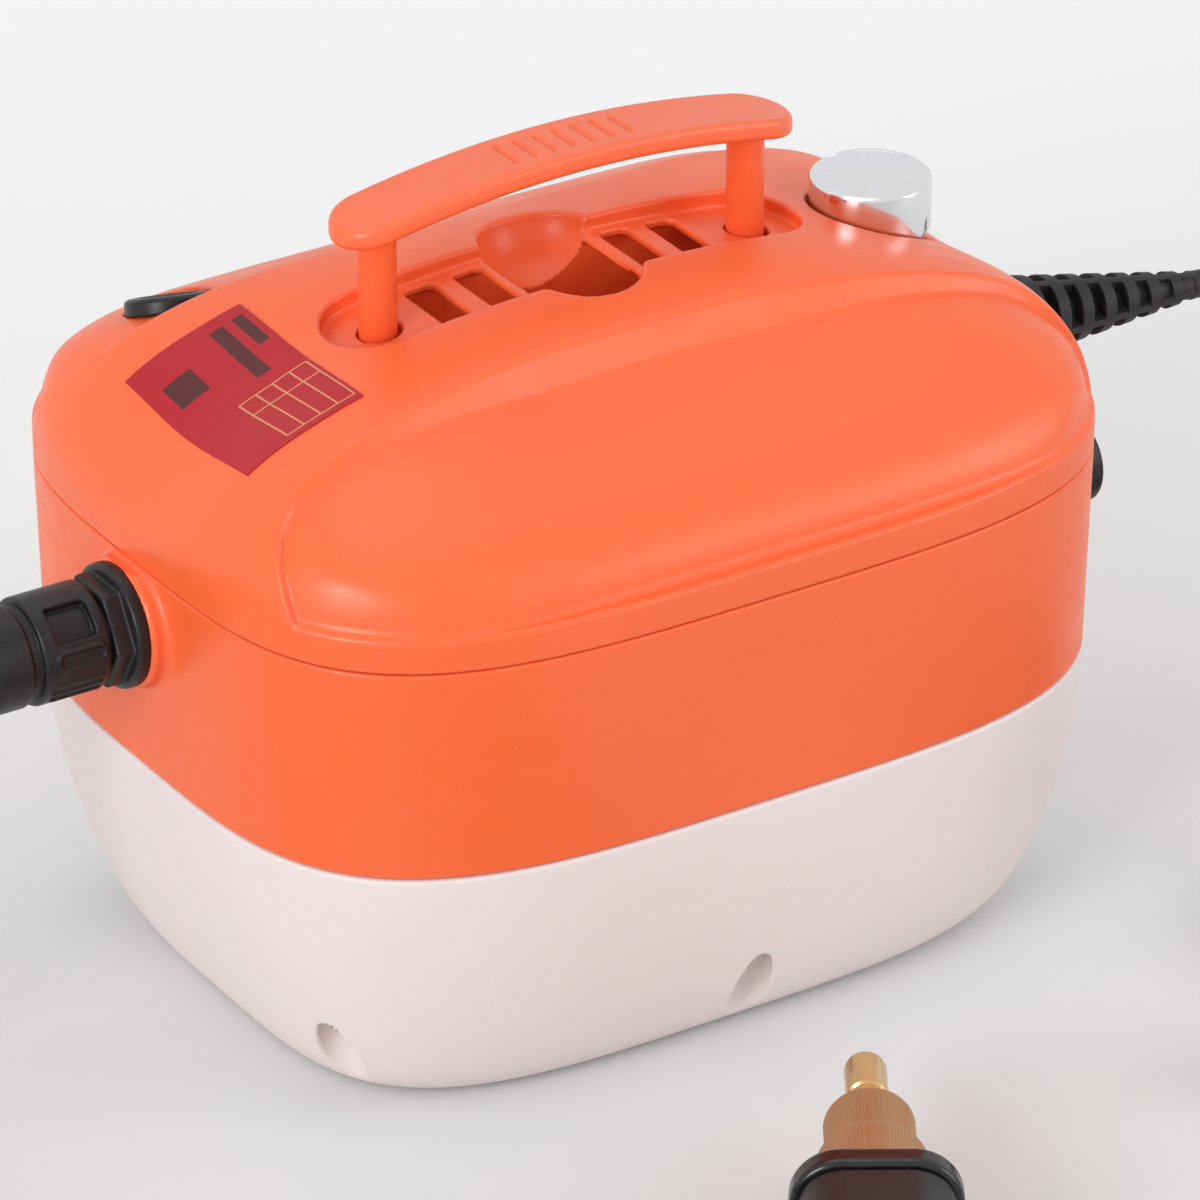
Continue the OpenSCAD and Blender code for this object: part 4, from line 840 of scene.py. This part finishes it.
def cover_field(x, y, z):
    """Cover with its recess, finger scoop, vents, post holes, knob well and filler seat."""
    s = sizes()
    part, spine = s.part, s.spine
    deep = spine - SLOT_DEPTH
    floor = deep + 2 - 6.4 * (x / 74) ** 2
    body = smooth_max(cover_outside(x, y, z), part + COVER_SEAM - z, 0.9)
    side, along = filler_axes(x, y, z)
    body = carve(body, np.maximum(side - CAP_R - 0.2, CAP_UP - along), 0.5)
    recess = smooth_max(stadium_wall(x, y, SLOT_L, SLOT_W), floor - z, 1.6)
    body = carve(body, recess, 1.8)
    bowl = np.sqrt(x * x + np.maximum(np.abs(y - 6) - 6.5, 0) ** 2 + (z - spine) ** 2) - SCOOP_R
    pocket = smooth_max(np.hypot(x, y + 10) - SCOOP_R + 1, spine - 15 - z, 3.0)
    body = carve(body, bowl, 1.6)
    body = carve(body, pocket, 1.4)
    hollow = np.maximum(z - floor + 2.5, deep - 46.5 - z)
    chamber = smooth_max(stadium_wall(x, y, SLOT_L - 6, SLOT_W - 2), hollow, 1.0)
    body = np.maximum(body, -chamber)
    for vx in VENT_X:
        slit = np.maximum(z - floor - 4, floor - 8 - z)
        slit = np.maximum(round_box(x - vx, y, 9, 27, 2.5), slit)
        body = carve(body, slit, 0.8)
    for sx in (-1, 1):
        hole = np.maximum(np.hypot(x - sx * POST_X - 0.5, y) - POST_D / 2 - 0.9, floor - 9 - z)
        body = carve(body, hole, 0.6)
    well = np.maximum(np.hypot(x - KNOB_X, y) - s.knob_diameter / 2 - 1, part + 34.5 - z)
    return carve(body, well, 1.0)


def band_field(x, y, z):
    """Band with the connector's boss and the hole of the switch."""
    s = sizes()
    a, b = s.a, s.b
    low, high = s.tank_height + TANK_SEAM, s.part - COVER_SEAM
    tuck = DRAFT * np.clip((high - z) / s.band_height, 0, 1)
    wall = oval_wall(x, y, a - tuck, b - tuck, PLAN_N)
    body = smooth_max(wall, slab(z, low, high), 1.0)
    boss = disc(np.hypot(y, z - CONNECTOR_Z), -x, BOSS_R, a - 20, a + 5, 2.2)
    body = smooth_min(body, np.maximum(boss, z - high), 3.0)
    hole = np.hypot(y - SWITCH[1], z - SWITCH[2]) - SWITCH_R
    return carve(body, np.maximum(hole, a - 40 - x), 0.5)


def tank_field(x, y, z):
    """Tank that draws in to its base, with wells for its screws."""
    s = sizes()
    high = s.tank_height
    u = np.clip(1 - z / high, 0, 1)
    a, b = [
        half - DRAFT - inset * (1 - (1 - u ** n) ** (1 / n))
        for half, (inset, n) in zip((s.a, s.b), TANK_TAPER)
    ]
    wall = oval_wall(x, y, a, b, PLAN_N + 0.2 * u)
    body = smooth_max(wall, np.maximum(-z, z - high + TANK_SEAM), 1.6)
    places = [(0, j * (s.b - 15)) for j in (1, -1)]
    places += [(i * (s.a - 26), j * (s.b - 47)) for i in (-1, 1) for j in (-1, 1)]
    for px, py in places:
        over = np.maximum(z - WELL_TOP, 0)
        well = np.sqrt((x - px) ** 2 + (y - py) ** 2 + over ** 2) - WELL_R
        body = carve(body, well, 2.0)
    return body


def draped_plate(name, low, high, count, rise, sink):
    """Mesh of a thin plate between two corners in plan, laid on the cover's outside."""
    x, y = np.meshgrid(*[np.linspace(low[d], high[d], count) for d in (0, 1)], indexing="ij")
    under = np.full(x.shape, sizes().part + 15)
    over = under + 50
    for _ in range(40):
        mid = (under + over) / 2
        inside = cover_outside(x, y, mid) < 0
        under, over = np.where(inside, mid, under), np.where(inside, over, mid)
    layers = [np.stack((x, y, under + up), -1).reshape(-1, 3) for up in (rise, -sink)]
    all_in, last = count * count, count - 1
    corners = [i * count + k for i in range(last) for k in range(last)]
    cells = [(c, c + count, c + count + 1, c + 1) for c in corners]
    faces = cells + [tuple(all_in + v for v in reversed(c)) for c in cells]
    rim = [i * count for i in range(last)] + [last * count + k for k in range(last)]
    rim += [i * count + last for i in range(last, 0, -1)] + list(range(last, 0, -1))
    faces += [(b, a, a + all_in, b + all_in) for a, b in zip(rim, rim[1:] + rim[:1])]
    return data_mesh(name, [(np.concatenate(layers), faces)], Matrix.Identity(4))


def grip_field(x, y, z):
    """Arched grip with plain ridges on top."""
    s = sizes()
    low, thick = s.grip_low, s.grip_thickness
    rise = s.grip_arch * (1 - (2 * x / s.grip_length) ** 2)
    across = np.abs(z - low - rise - thick / 2) - thick / 2
    body = smooth_max(stadium_wall(x, y, s.grip_length, s.grip_width), across, 2.2)
    for k in range(-3, 4):
        groove = np.hypot(stadium_wall(y, x - 6 * k, 11, 0.1) + 0.05, z - low - rise - thick) - 0.75
        body = carve(body, groove, 0.5)
    return body


# Fittings


def connector_field(x, y, z):
    """Swivel connector: flange, six-sided neck, barrel with a window and ribs, groove and collar."""
    along = -x - 140
    up = z - CONNECTOR_Z
    radius = np.hypot(y, up)
    angle = np.arctan2(up, -y)
    body = disc(radius, along, 17.4, -1.0, 3.6, 1.6)
    six = np.maximum(np.abs(0.866 * y + 0.5 * up), np.abs(0.866 * y - 0.5 * up))
    six = np.maximum(np.abs(up), six) - 13.6
    body = smooth_min(body, smooth_max(six, slab(along, 2, 9), 1.6), 0.8)
    body = smooth_min(body, disc(radius, along, 12.6, 6, 12, 0.6), 0.6)
    body = smooth_min(body, disc(radius, along, 15, 10, 30, 1.4), 0.4)
    tongue = np.abs(round_box(along - 19, 15 * (angle - 0.16), 14, 4.2, 1.6)) - 0.55
    body = smooth_min(body, smooth_max(tongue, slab(radius, 13, 15.8), 0.5), 0.5)
    for k in range(3):
        ridge = round_box(along - 20, 15 * (angle + 0.32 + 0.2 * k), 15, 1.1, 0.5)
        body = smooth_min(body, smooth_max(ridge, slab(radius, 13, 15.7), 0.5), 0.5)
    for turn in (0.84, 0.84 - math.pi):
        swing = np.mod(angle - turn + math.pi, 2 * math.pi) - math.pi
        window = np.maximum(round_box(along - 19.5, 15 * swing, 12, 11, 1.2), 12.6 - radius)
        body = carve(body, window, 0.6)
    body = smooth_min(body, disc(radius, along, 13.2, 28, 36, 0.6), 0.3)
    return smooth_min(body, disc(radius, along, 14.4, 32.5, 44, 1.6), 0.3)


def relief_field(x, y, z):
    """Tapered strain relief: ring ribs, open windows between them and four webs."""
    along, side = spun(x, z, (RELIEF[0], RELIEF[2]), -RELIEF_TILT)
    radius = np.hypot(y, side)
    angle = np.arctan2(side, y)
    outer = 14.2 - 10.2 * np.clip(along / (RELIEF_L - 4), 0, 1)
    body = smooth_max(radius - outer, slab(along, -2, RELIEF_L), 0.9)
    pitch = 8.75
    gap = np.abs(np.mod(along - 6, pitch) - 0.74 * pitch) - 0.24 * pitch
    gap = np.maximum(gap, np.maximum(5 - along, along - RELIEF_L + 5))
    web = radius * np.abs(np.sin(2 * (angle - math.radians(15)))) / 2 - 1.1
    core = np.maximum(outer - 4.5, np.minimum(outer - 0.3, 3.9))
    groove = np.maximum(np.maximum(gap, core - radius), -web)
    body = carve(body, groove, 0.5)
    return smooth_min(body, disc(radius, along, 14.8, -3, 1.6, 0.8), 0.5)


def gun_axes(x, y):
    return spun(x, y, GUN_TIP, GUN_TURN)


def bezel_field(x, y, z):
    """Rounded square frame at the gun's front, with a double rim around a sunk panel."""
    p, q = gun_axes(x, y)
    h = z - GUN_TIP[2]
    edge = round_box(q, h, *BEZEL)
    body = smooth_max(edge, slab(p, -82, -74), 2.2)
    trench = np.maximum(np.abs(edge + 4.6) - 0.7, -75.2 - p)
    body = carve(body, trench, 0.7)
    panel = np.maximum(edge + 7.2, -76.4 - p)
    body = carve(body, panel, 0.6)
    return smooth_max(body, 8.2 - np.hypot(q, h), 0.3)


def gun_field(x, y, z):
    """Barrel and raked grip, parting line, grip grooves and the well of the trigger."""
    p, q = gun_axes(x, y)
    h = z - GUN_TIP[2]
    section = round_box(q, h, 44, 40, 14)
    rear = np.where(p < -164, np.hypot(p + 164, q) - 22, np.abs(q) - 22)
    body = smooth_max(smooth_max(section, rear, 5.0), slab(p, -186, -82.3), 1.6)
    across, down = spun(p, q, GRIP_END, GRIP_RAKE)
    handle = smooth_max(round_box(across, h, 36, 32, 13), slab(down, -120, -17), 2.0)
    foot = smooth_max(round_box(across, h, 40, 36, 15), slab(down, -30, -16.2), 2.0)
    body = smooth_min(body, handle, 6.0)
    body = smooth_min(body, foot, 1.2)
    for k in range(5):
        groove = np.maximum(np.hypot(down + 42 + 7 * k, np.maximum(across + 24 - 6, 0)) - 1.1, across)
        body = carve(body, groove, 1.0)
    seam = np.maximum(np.abs(h) - 0.35, -0.5 - body)
    body = carve(body, seam, 0.3)
    well = np.maximum(slab(p, -168, -134), slab(q, 22, 84))
    return carve(body, np.maximum(well, np.abs(h) - 7), 0.5)


# Routes of the lead and the hose, as in the solids


def lead_path():
    c, s = math.cos(RELIEF_TILT), math.sin(RELIEF_TILT)
    tip = (RELIEF[0] + RELIEF_L * c, 0, RELIEF[2] - RELIEF_L * s)
    route = [tip, (tip[0] + 16 * c, 0, tip[2] - 16 * s)]
    route += [(250, -5, 125), (262, -17, 110), (266, -34, 90), (265, -53, 68)]
    route += [(261, -72, 47), (256, -92, 28), (251.5, -111, 13.5), (249, -129, 5.8)]
    for i in range(127):
        t = i / 24
        r = 53 - 8.2 * t if t < 2.75 else 53 - 8.2 * (5.5 - t)
        high = 5 + 8.2 * min(1, max(0, (t - 2.5) * 2))
        a = 2 * math.pi * t
        route.append((195 + r * math.cos(a), -145 - r * math.sin(a), high))
    route += [(181, -196.3, 12.6), (167, -197, 14), PLUG_AT]
    return smooth_route(route, 3)


def hose_path():
    route = [(-184, 0, 127), (-204, 0, 127), (-232, 0, 121), (-258, -1, 104)]
    route += [(-280, -1, 81), (-302, -2, 57.5), (-326, -3, 37.5), (-346, -3.2, 24)]
    for i in range(35):
        t = 523 * i / 34
        r = 82 + 19.5 * t / 360
        sink = max(0, 1 - t / 50)
        a = math.radians(t)
        route.append((-361 - r * math.sin(a), -85.5 + r * math.cos(a), 10.2 + 8 * sink * sink))
    c, s = math.cos(GUN_TURN), math.sin(GUN_TURN)
    (tx, ty, tz), (ex, ey) = GUN_TIP, GRIP_END
    last = np.array((tx + ex * c - ey * s, ty + ex * s + ey * c, tz))
    heading = np.array((-math.sin(GUN_TURN + GRIP_RAKE), math.cos(GUN_TURN + GRIP_RAKE), 0))
    route += [(-355, -202.7, 10.2), (-317, -214.3, 11), (-279, -226, 15), (-246, -236, 20)]
    route += [last + 20 * heading, last]
    return smooth_route(route, 6)


# Operators

# View of the photograph: picture width and focal length in pixels, aim and distance
PICTURE, FOCAL = 1200, 8063
VIEW_BACK = (-0.4744, -0.7533, 0.4556)
VIEW_RIGHT = (0.8462, -0.5329, 0)
VIEW_SHIFT = (35.6, 162.6)
VIEW_FAR, VIEW_HIGH = 2.2, 0.144
SENSOR = 36
FLOOR_HALF, FLOOR_Z = 4, -0.0004
LAMPS = (
    ("key", (-2.5, -1.1, 1.1), 1.4, 40),
    ("fill", (1.8, -1.7, 1.0), 1.6, 17),
    ("top", (0.1, 0.5, 2.6), 2.0, 7),
)


class STEAMER_OT_stage(bpy.types.Operator):
    """Adds the camera, the pale floor, the lamps and the world"""

    bl_idname = "steamer.stage"
    bl_label = "Stage"

    def execute(self, context):
        scene = context.scene
        scene.view_settings.view_transform = "Standard"
        back = Vector(VIEW_BACK).normalized()
        right = Vector(VIEW_RIGHT).normalized()
        up = right.cross(-back)
        lens = bpy.data.cameras.new("view")
        lens.sensor_width = SENSOR
        lens.lens = FOCAL / PICTURE * SENSOR
        lens.clip_end = 50
        camera = placed("view", lens)
        camera.location = back * VIEW_FAR + Vector((0, 0, VIEW_HIGH))
        aim = -back * FOCAL + right * VIEW_SHIFT[0] - up * VIEW_SHIFT[1]
        camera.rotation_euler = aim.to_track_quat("-Z", "Y").to_euler()
        scene.camera = camera
        self.floor()
        self.lamps()
        self.world(scene)
        return {"FINISHED"}

    def floor(self):
        t, shader, where = new_finish("stage_floor")
        base = colour("floor")
        # Painted shade: the floor's colour is darker on the near side, towards the view, and lighter
        # far away, standing in for the fall-off of the studio light.
        ins = {0: where, 1: (0.533, 0.846, 0)}
        depth = t.add("ShaderNodeVectorMath", ins, operation="DOT_PRODUCT").outputs["Value"]
        share = span(t, depth, 0, 1, -0.25, 0.7)
        tone = blend_colour(t, share, shade(base, 0.85), shade(base, 1.08))
        wire(t, shader, Base_Color=tone, Roughness=0.9, Specular_IOR_Level=0.1)
        mesh = bpy.data.meshes.new("stage_floor")
        signs = (-1, -1), (1, -1), (1, 1), (-1, 1)
        corners = [(i * FLOOR_HALF, j * FLOOR_HALF, FLOOR_Z) for i, j in signs]
        mesh.from_pydata(corners, [], [(0, 1, 2, 3)])
        mesh.materials.append(finish_named("stage_floor"))
        floor = placed("stage_floor", mesh)

    def lamps(self):
        for name, place, size, power in LAMPS:
            data = bpy.data.lights.new(name, "AREA")
            data.shape = "DISK"
            data.size = size
            data.energy = power
            lamp = placed(name, data)
            lamp.location = place
            aim = Vector((0, 0, 0.1)) - lamp.location
            lamp.rotation_euler = aim.to_track_quat("-Z", "Y").to_euler()

    def world(self, scene):
        world = bpy.data.worlds.new("studio")
        world.use_nodes = True
        world.node_tree.nodes.clear()
        t = Tree(world.node_tree)
        ray = t.add("ShaderNodeLightPath").outputs
        seen = t.math("MAXIMUM", ray["Is Camera Ray"], ray["Is Glossy Ray"])
        seen = t.math("MAXIMUM", seen, ray["Is Transmission Ray"])
        soft = t.add("ShaderNodeBackground", {"Color": (1.0, 0.99, 0.98, 1), "Strength": 0.72})
        pale = t.add("ShaderNodeBackground", {"Color": (0.86, 0.86, 0.87, 1), "Strength": 1.0})
        mix = t.add("ShaderNodeMixShader", {0: seen, 1: soft.outputs[0], 2: pale.outputs[0]})
        t.add("ShaderNodeOutputWorld", {0: mix.outputs[0]})
        scene.world = world


class STEAMER_OT_lines(bpy.types.Operator):
    """Lays the mains lead with its plug and the ribbed steam hose"""

    bl_idname = "steamer.lines"
    bl_label = "Lead and Hose"

    def execute(self, context):
        s = sizes()
        plug = self.plug()
        path = lead_path()
        mesh = swept(path, s.lead_diameter, 0.0, 10, 2.5, 20, "black_rubber")
        lead = piece("mains_lead", mesh, ["cord_lead", "cord_coil", "cord_tail"], "black_rubber")
        path = hose_path()
        mesh = swept(path, s.hose_diameter, 1.4, s.hose_rib_pitch, 0.75, 20, "black_rubber")
        hose = piece("steam_hose", mesh, ["hose_lead", "hose_coil", "hose_tail_run"], "black_rubber")
        return {"FINISHED"}

    def plug(self):
        profile = [(0, 0), (5, 0), (5.6, 3), (8.6, 13), (12.2, 14), (14, 20), (14, 45), (0, 45)]
        rib = box_data(1.6, 1.4, 15, x=13.1, z=24, bevel=0.5)
        parts = [lathe_data(round_off(profile, 1.4), 48), ring_of(rib, 24, "black_plastic")]
        mesh = data_mesh("plug", parts, turned(PLUG_AT, (-1, 0, 0)))
        return piece("plug", mesh, ["plug_body"], "black_plastic")


class STEAMER_OT_housing(bpy.types.Operator):
    """Moulds the tank, the band, the cover with its recess, and the label plate"""

    bl_idname = "steamer.housing"
    bl_label = "Housing"

    def execute(self, context):
        s = sizes()
        a, b = s.a + GRID_ROOM, s.b + GRID_ROOM
        low, part = s.tank_height, s.part
        near = (
            [(-133, -112, 1.0), (-80, 80, 1.0), (112, 133, 1.0)],
            [(-64, -46, 1.1), (-33, 33, 0.9), (46, 64, 1.1)],
            [(part - 0.6, part + 2, 0.5), (part + 7, part + 12, 0.85), (part + 38, part + 60, 0.9)],
        )
        box = (-a, -b, part - GRID_ROOM), (a, b, part + s.cover_height + 6)
        mesh = skin_mesh("cover", cover_field, *box, 1.7, near=near, level=part + 0.17)
        piece("cover", mesh, ["top_cover", "handle_tray"], "orange_shell")
        near = ((), (), [(low - 0.6, low + 2, 0.35), (part - 2, part + 0.6, 0.35)])
        box = (-a - 6, -b, low - GRID_ROOM), (a, b, part + GRID_ROOM)
        mesh = skin_mesh("band", band_field, *box, 1.5, near=near)
        piece("band", mesh, ["mid_body"], "orange_shell")
        near = (
            [(-118, -100, 1.0), (-9, 9, 1.0), (100, 118, 1.0)],
            [(-102, -83, 1.0), (-70, -52, 1.0), (52, 70, 1.0), (83, 102, 1.0)],
            [(-0.6, 2.4, 0.5), (20, 37, 0.9), (low - 2.4, low + 0.6, 0.4)],
        )
        box = (-a, -b, -GRID_ROOM), (a, b, low + GRID_ROOM)
        mesh = skin_mesh("tank", tank_field, *box, 2.0, near=near)
        piece("tank", mesh, ["water_tank"], "tank_white")
        mesh = draped_plate("label_plate", (-117.95, -32.25), (-82.45, 32.25), 61, 0.45, 3.5)
        piece("label_plate", mesh, (), "label_red", slot="orange_shell")
        return {"FINISHED"}


class STEAMER_OT_handle(bpy.types.Operator):
    """Shapes the arched grip and its two posts"""

    bl_idname = "steamer.handle"
    bl_label = "Handle"

    def execute(self, context):
        s = sizes()
        half, wide = s.grip_length / 2 + 3, s.grip_width / 2 + 3
        low = s.grip_low
        rides = {"body": "handle", "slot": "orange_shell"}
        mesh = skin_mesh("grip", grip_field, (-half, -wide, low - 3), (half, wide, low + 18), 0.75)
        piece("grip", mesh, ["handle_grip"], "orange_handle", **rides)
        r = POST_D / 2
        top = low + s.grip_arch * (1 - (2 * POST_X / s.grip_length) ** 2)
        foot = low - LIFT - POST_DEPTH - GRIP_GAP
        profile = [(0, foot), (r, foot), (r, top - 2.2), (r + 0.4, top - 0.9)]
        profile += [(r + 1.6, top + 0.1), (r + 1.6, top + 0.6), (0, top + 0.6)]
        points, faces = lathe_data(profile, 40)
        parts = [([(x + side * POST_X, y, z) for x, y, z in points], faces) for side in (-1, 1)]
        mesh = data_mesh("posts", parts, Matrix.Identity(4))
        piece("posts", mesh, ["handle_posts"], "orange_handle", **rides)
        return {"FINISHED"}


class STEAMER_OT_controls(bpy.types.Operator):
    """Turns the control knob and the filler cap"""

    bl_idname = "steamer.controls"
    bl_label = "Knob and Cap"

    def execute(self, context):
        s = sizes()
        r = s.knob_diameter / 2
        top = s.part + s.cover_height - 0.7
        rim = [(r, 16), (1.2, 16), (0.6, 15.4), (0.6, 14.6), (0, 14.2), (0, 1.1)]
        rim += [(0.25, 0.5), (0.9, 0), (1.3, 0), (1.5, 0.25), (r, 0.3)]
        profile = [(r - inset, top - drop) for inset, drop in rim]
        place = Matrix.Translation((KNOB_X, 0, 0))
        mesh = data_mesh("knob", [lathe_data(profile, 96)], place, sharp=25)
        finishes = "knob_chrome", "knob_silver"
        piece("knob", mesh, ["control_knob"], *finishes, body="knob", slot="knob_silver")
        face = [int(p.center.z > (top - 0.45) * MM) for p in mesh.polygons]
        mesh.polygons.foreach_set("material_index", face)
        r, low = CAP_R, CAP_UP + 0.1
        profile = [(0, low), (r, low), (r, low + 3.8), (r - 1.0, low + 4.6)]
        profile += [(r - 3.2, low + 4.8), (r - 3.7, low + 4.1), (0, low + 4.0)]
        bar = box_data(2 * r - 8, 3.6, 0.9, z=low + 3.9, bevel=0.5)
        parts = [lathe_data(round_off(profile, 0.6), 64), bar]
        mesh = data_mesh("filler_lid", parts, turned(FILLER, FILLER_AXIS))
        piece("filler_lid_cap", mesh, ["filler_cap"], "black_plastic", body="filler_lid")
        return {"FINISHED"}


class STEAMER_OT_fittings(bpy.types.Operator):
    """Moulds the hose connector, the frame of the switch and the strain relief"""

    bl_idname = "steamer.fittings"
    bl_label = "Fittings"

    def execute(self, context):
        box = (-187, -20.5, CONNECTOR_Z - 20.5), (-137, 20.5, CONNECTOR_Z + 20.5)
        mesh = skin_mesh("connector", connector_field, *box, 0.6)
        piece("swivel_connector", mesh, ["hose_connector"], "black_plastic")
        ring = [(0, -14), (12.3, -14), (12.3, 0.6), (11.5, 1.2)]
        ring += [(10.4, 1.2), (9.6, 0.2), (9.6, -3), (0, -3)]
        parts = [lathe_data(round_off(ring, 0.5), 72)]
        mesh = data_mesh("switch_frame", parts, turned(SWITCH, (1, 0, 0)))
        piece("switch_frame", mesh, ["switch_housing"], "black_plastic")
        mesh = skin_mesh("relief", relief_field, (129, -17.5, 122), (221, 17.5, 160), 0.55)
        piece("cable_relief", mesh, ["strain_relief"], "black_rubber")
        return {"FINISHED"}


class STEAMER_OT_gun(bpy.types.Operator):
    """Shapes the steam gun: brass tip, nuts, front frame and shells"""

    bl_idname = "steamer.gun"
    bl_label = "Steam Gun"

    def execute(self, context):
        axis = (-math.cos(GUN_TURN), -math.sin(GUN_TURN), 0)
        place = turned(GUN_TIP, axis)
        tip = [(0, 1.2), (1.9, 1.2), (2.0, 0.3), (2.6, 0), (3.8, 0.25), (4.8, 0.9), (5.45, 2.0)]
        tip += [(5.75, 3.4), (5.75, 17), (5.05, 17.6), (5.05, 19), (5.75, 19.6), (5.75, 30), (0, 30)]
        mesh = data_mesh("tip", [lathe_data(tip, 64)], place, sharp=30)
        piece("spray_tip", mesh, ["nozzle_tip"], "brass")
        nuts = [(0, 29), (10.6, 29), (12.0, 30.6), (12.0, 48.4), (11.2, 50), (12.6, 50), (15.1, 51.6)]
        nuts += [(15.3, 53), (15.3, 72.6), (14.4, 75), (8, 75), (8, 90), (0, 90)]
        small = box_data(0.5, 0.55, 17, x=11.95, z=31, bevel=0.2)
        large = box_data(0.5, 0.6, 19.6, x=15.22, z=53, bevel=0.2)
        parts = [lathe_data(round_off(nuts, 0.7), 96)]
        parts += [ring_of(small, 84, "copper_nut"), ring_of(large, 100, "copper_nut")]
        mesh = data_mesh("nuts", parts, place, sharp=30)
        piece("nozzle_nuts", mesh, ["nozzle_body"], "copper_nut", slot="brass")
        mid = Vector(GUN_TIP) + 78 * Vector(axis)
        box = (mid.x - 27, mid.y - 27, -4), (mid.x + 27, mid.y + 27, 48)
        mesh = skin_mesh("bezel", bezel_field, *box, 0.7)
        finishes = "black_gloss", "brown_panel"
        piece("front_frame", mesh, ["gun_bezel"], *finishes, slot="black_plastic")
        sunk = []
        for p in mesh.polygons:
            u, v = gun_axes(p.center.x / MM, p.center.y / MM)
            inner = round_box(v, p.center.z / MM - GUN_TIP[2], *BEZEL) < -7.0
            sunk.append(int(inner and u > -77.2))
        mesh.polygons.foreach_set("material_index", sunk)
        shells = ["gun_shell_lower", "gun_shell_upper"]
        boxes = [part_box(n) for n in shells]
        low = np.min([b[0] for b in boxes], axis=0) / MM - GRID_ROOM
        high = np.max([b[1] for b in boxes], axis=0) / MM + GRID_ROOM
        mesh = skin_mesh("gun", gun_field, low, high, 1.1)
        piece("gun_shells", mesh, shells, "black_plastic")
        return {"FINISHED"}


class STEAMER_OT_finishes(bpy.types.Operator):
    """Makes the finishes and gives them to the solids that stay"""

    bl_idname = "steamer.finishes"
    bl_label = "Finishes"

    def execute(self, context):
        make_finishes()
        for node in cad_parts.values():
            for slot in node.material_slots:
                slot.material = finish_named(slot.material.name.split(".")[0])
        return {"FINISHED"}


class STEAMER_PT_panel(bpy.types.Panel):
    """Lists the sizes, the colours and the steps that build the machine"""

    bl_idname = "STEAMER_PT_panel"
    bl_label = "Steam Cleaner"
    bl_space_type = "VIEW_3D"
    bl_region_type = "UI"
    bl_category = "Steam Cleaner"

    def draw(self, context):
        for step in STEPS:
            self.layout.operator(step.bl_idname)
        for group in (context.scene.steamer_sizes, context.scene.steamer_colours):
            box = self.layout.box()
            for name in type(group).__annotations__:
                box.prop(group, name)


STEPS = (
    STEAMER_OT_finishes,
    STEAMER_OT_stage,
    STEAMER_OT_lines,
    STEAMER_OT_housing,
    STEAMER_OT_handle,
    STEAMER_OT_controls,
    STEAMER_OT_fittings,
    STEAMER_OT_gun,
)
CLASSES = (SteamerSizes, SteamerColours) + STEPS + (STEAMER_PT_panel,)


def register():
    for each in CLASSES:
        bpy.utils.register_class(each)
    bpy.types.Scene.steamer_sizes = bpy.props.PointerProperty(type=SteamerSizes)
    bpy.types.Scene.steamer_colours = bpy.props.PointerProperty(type=SteamerColours)


def unregister():
    del bpy.types.Scene.steamer_colours
    del bpy.types.Scene.steamer_sizes
    for each in reversed(CLASSES):
        bpy.utils.unregister_class(each)


def main():
    register()
    for step in STEPS:
        group, name = step.bl_idname.split(".")
        getattr(getattr(bpy.ops, group), name)()


if __name__ == "__main__":
    main()
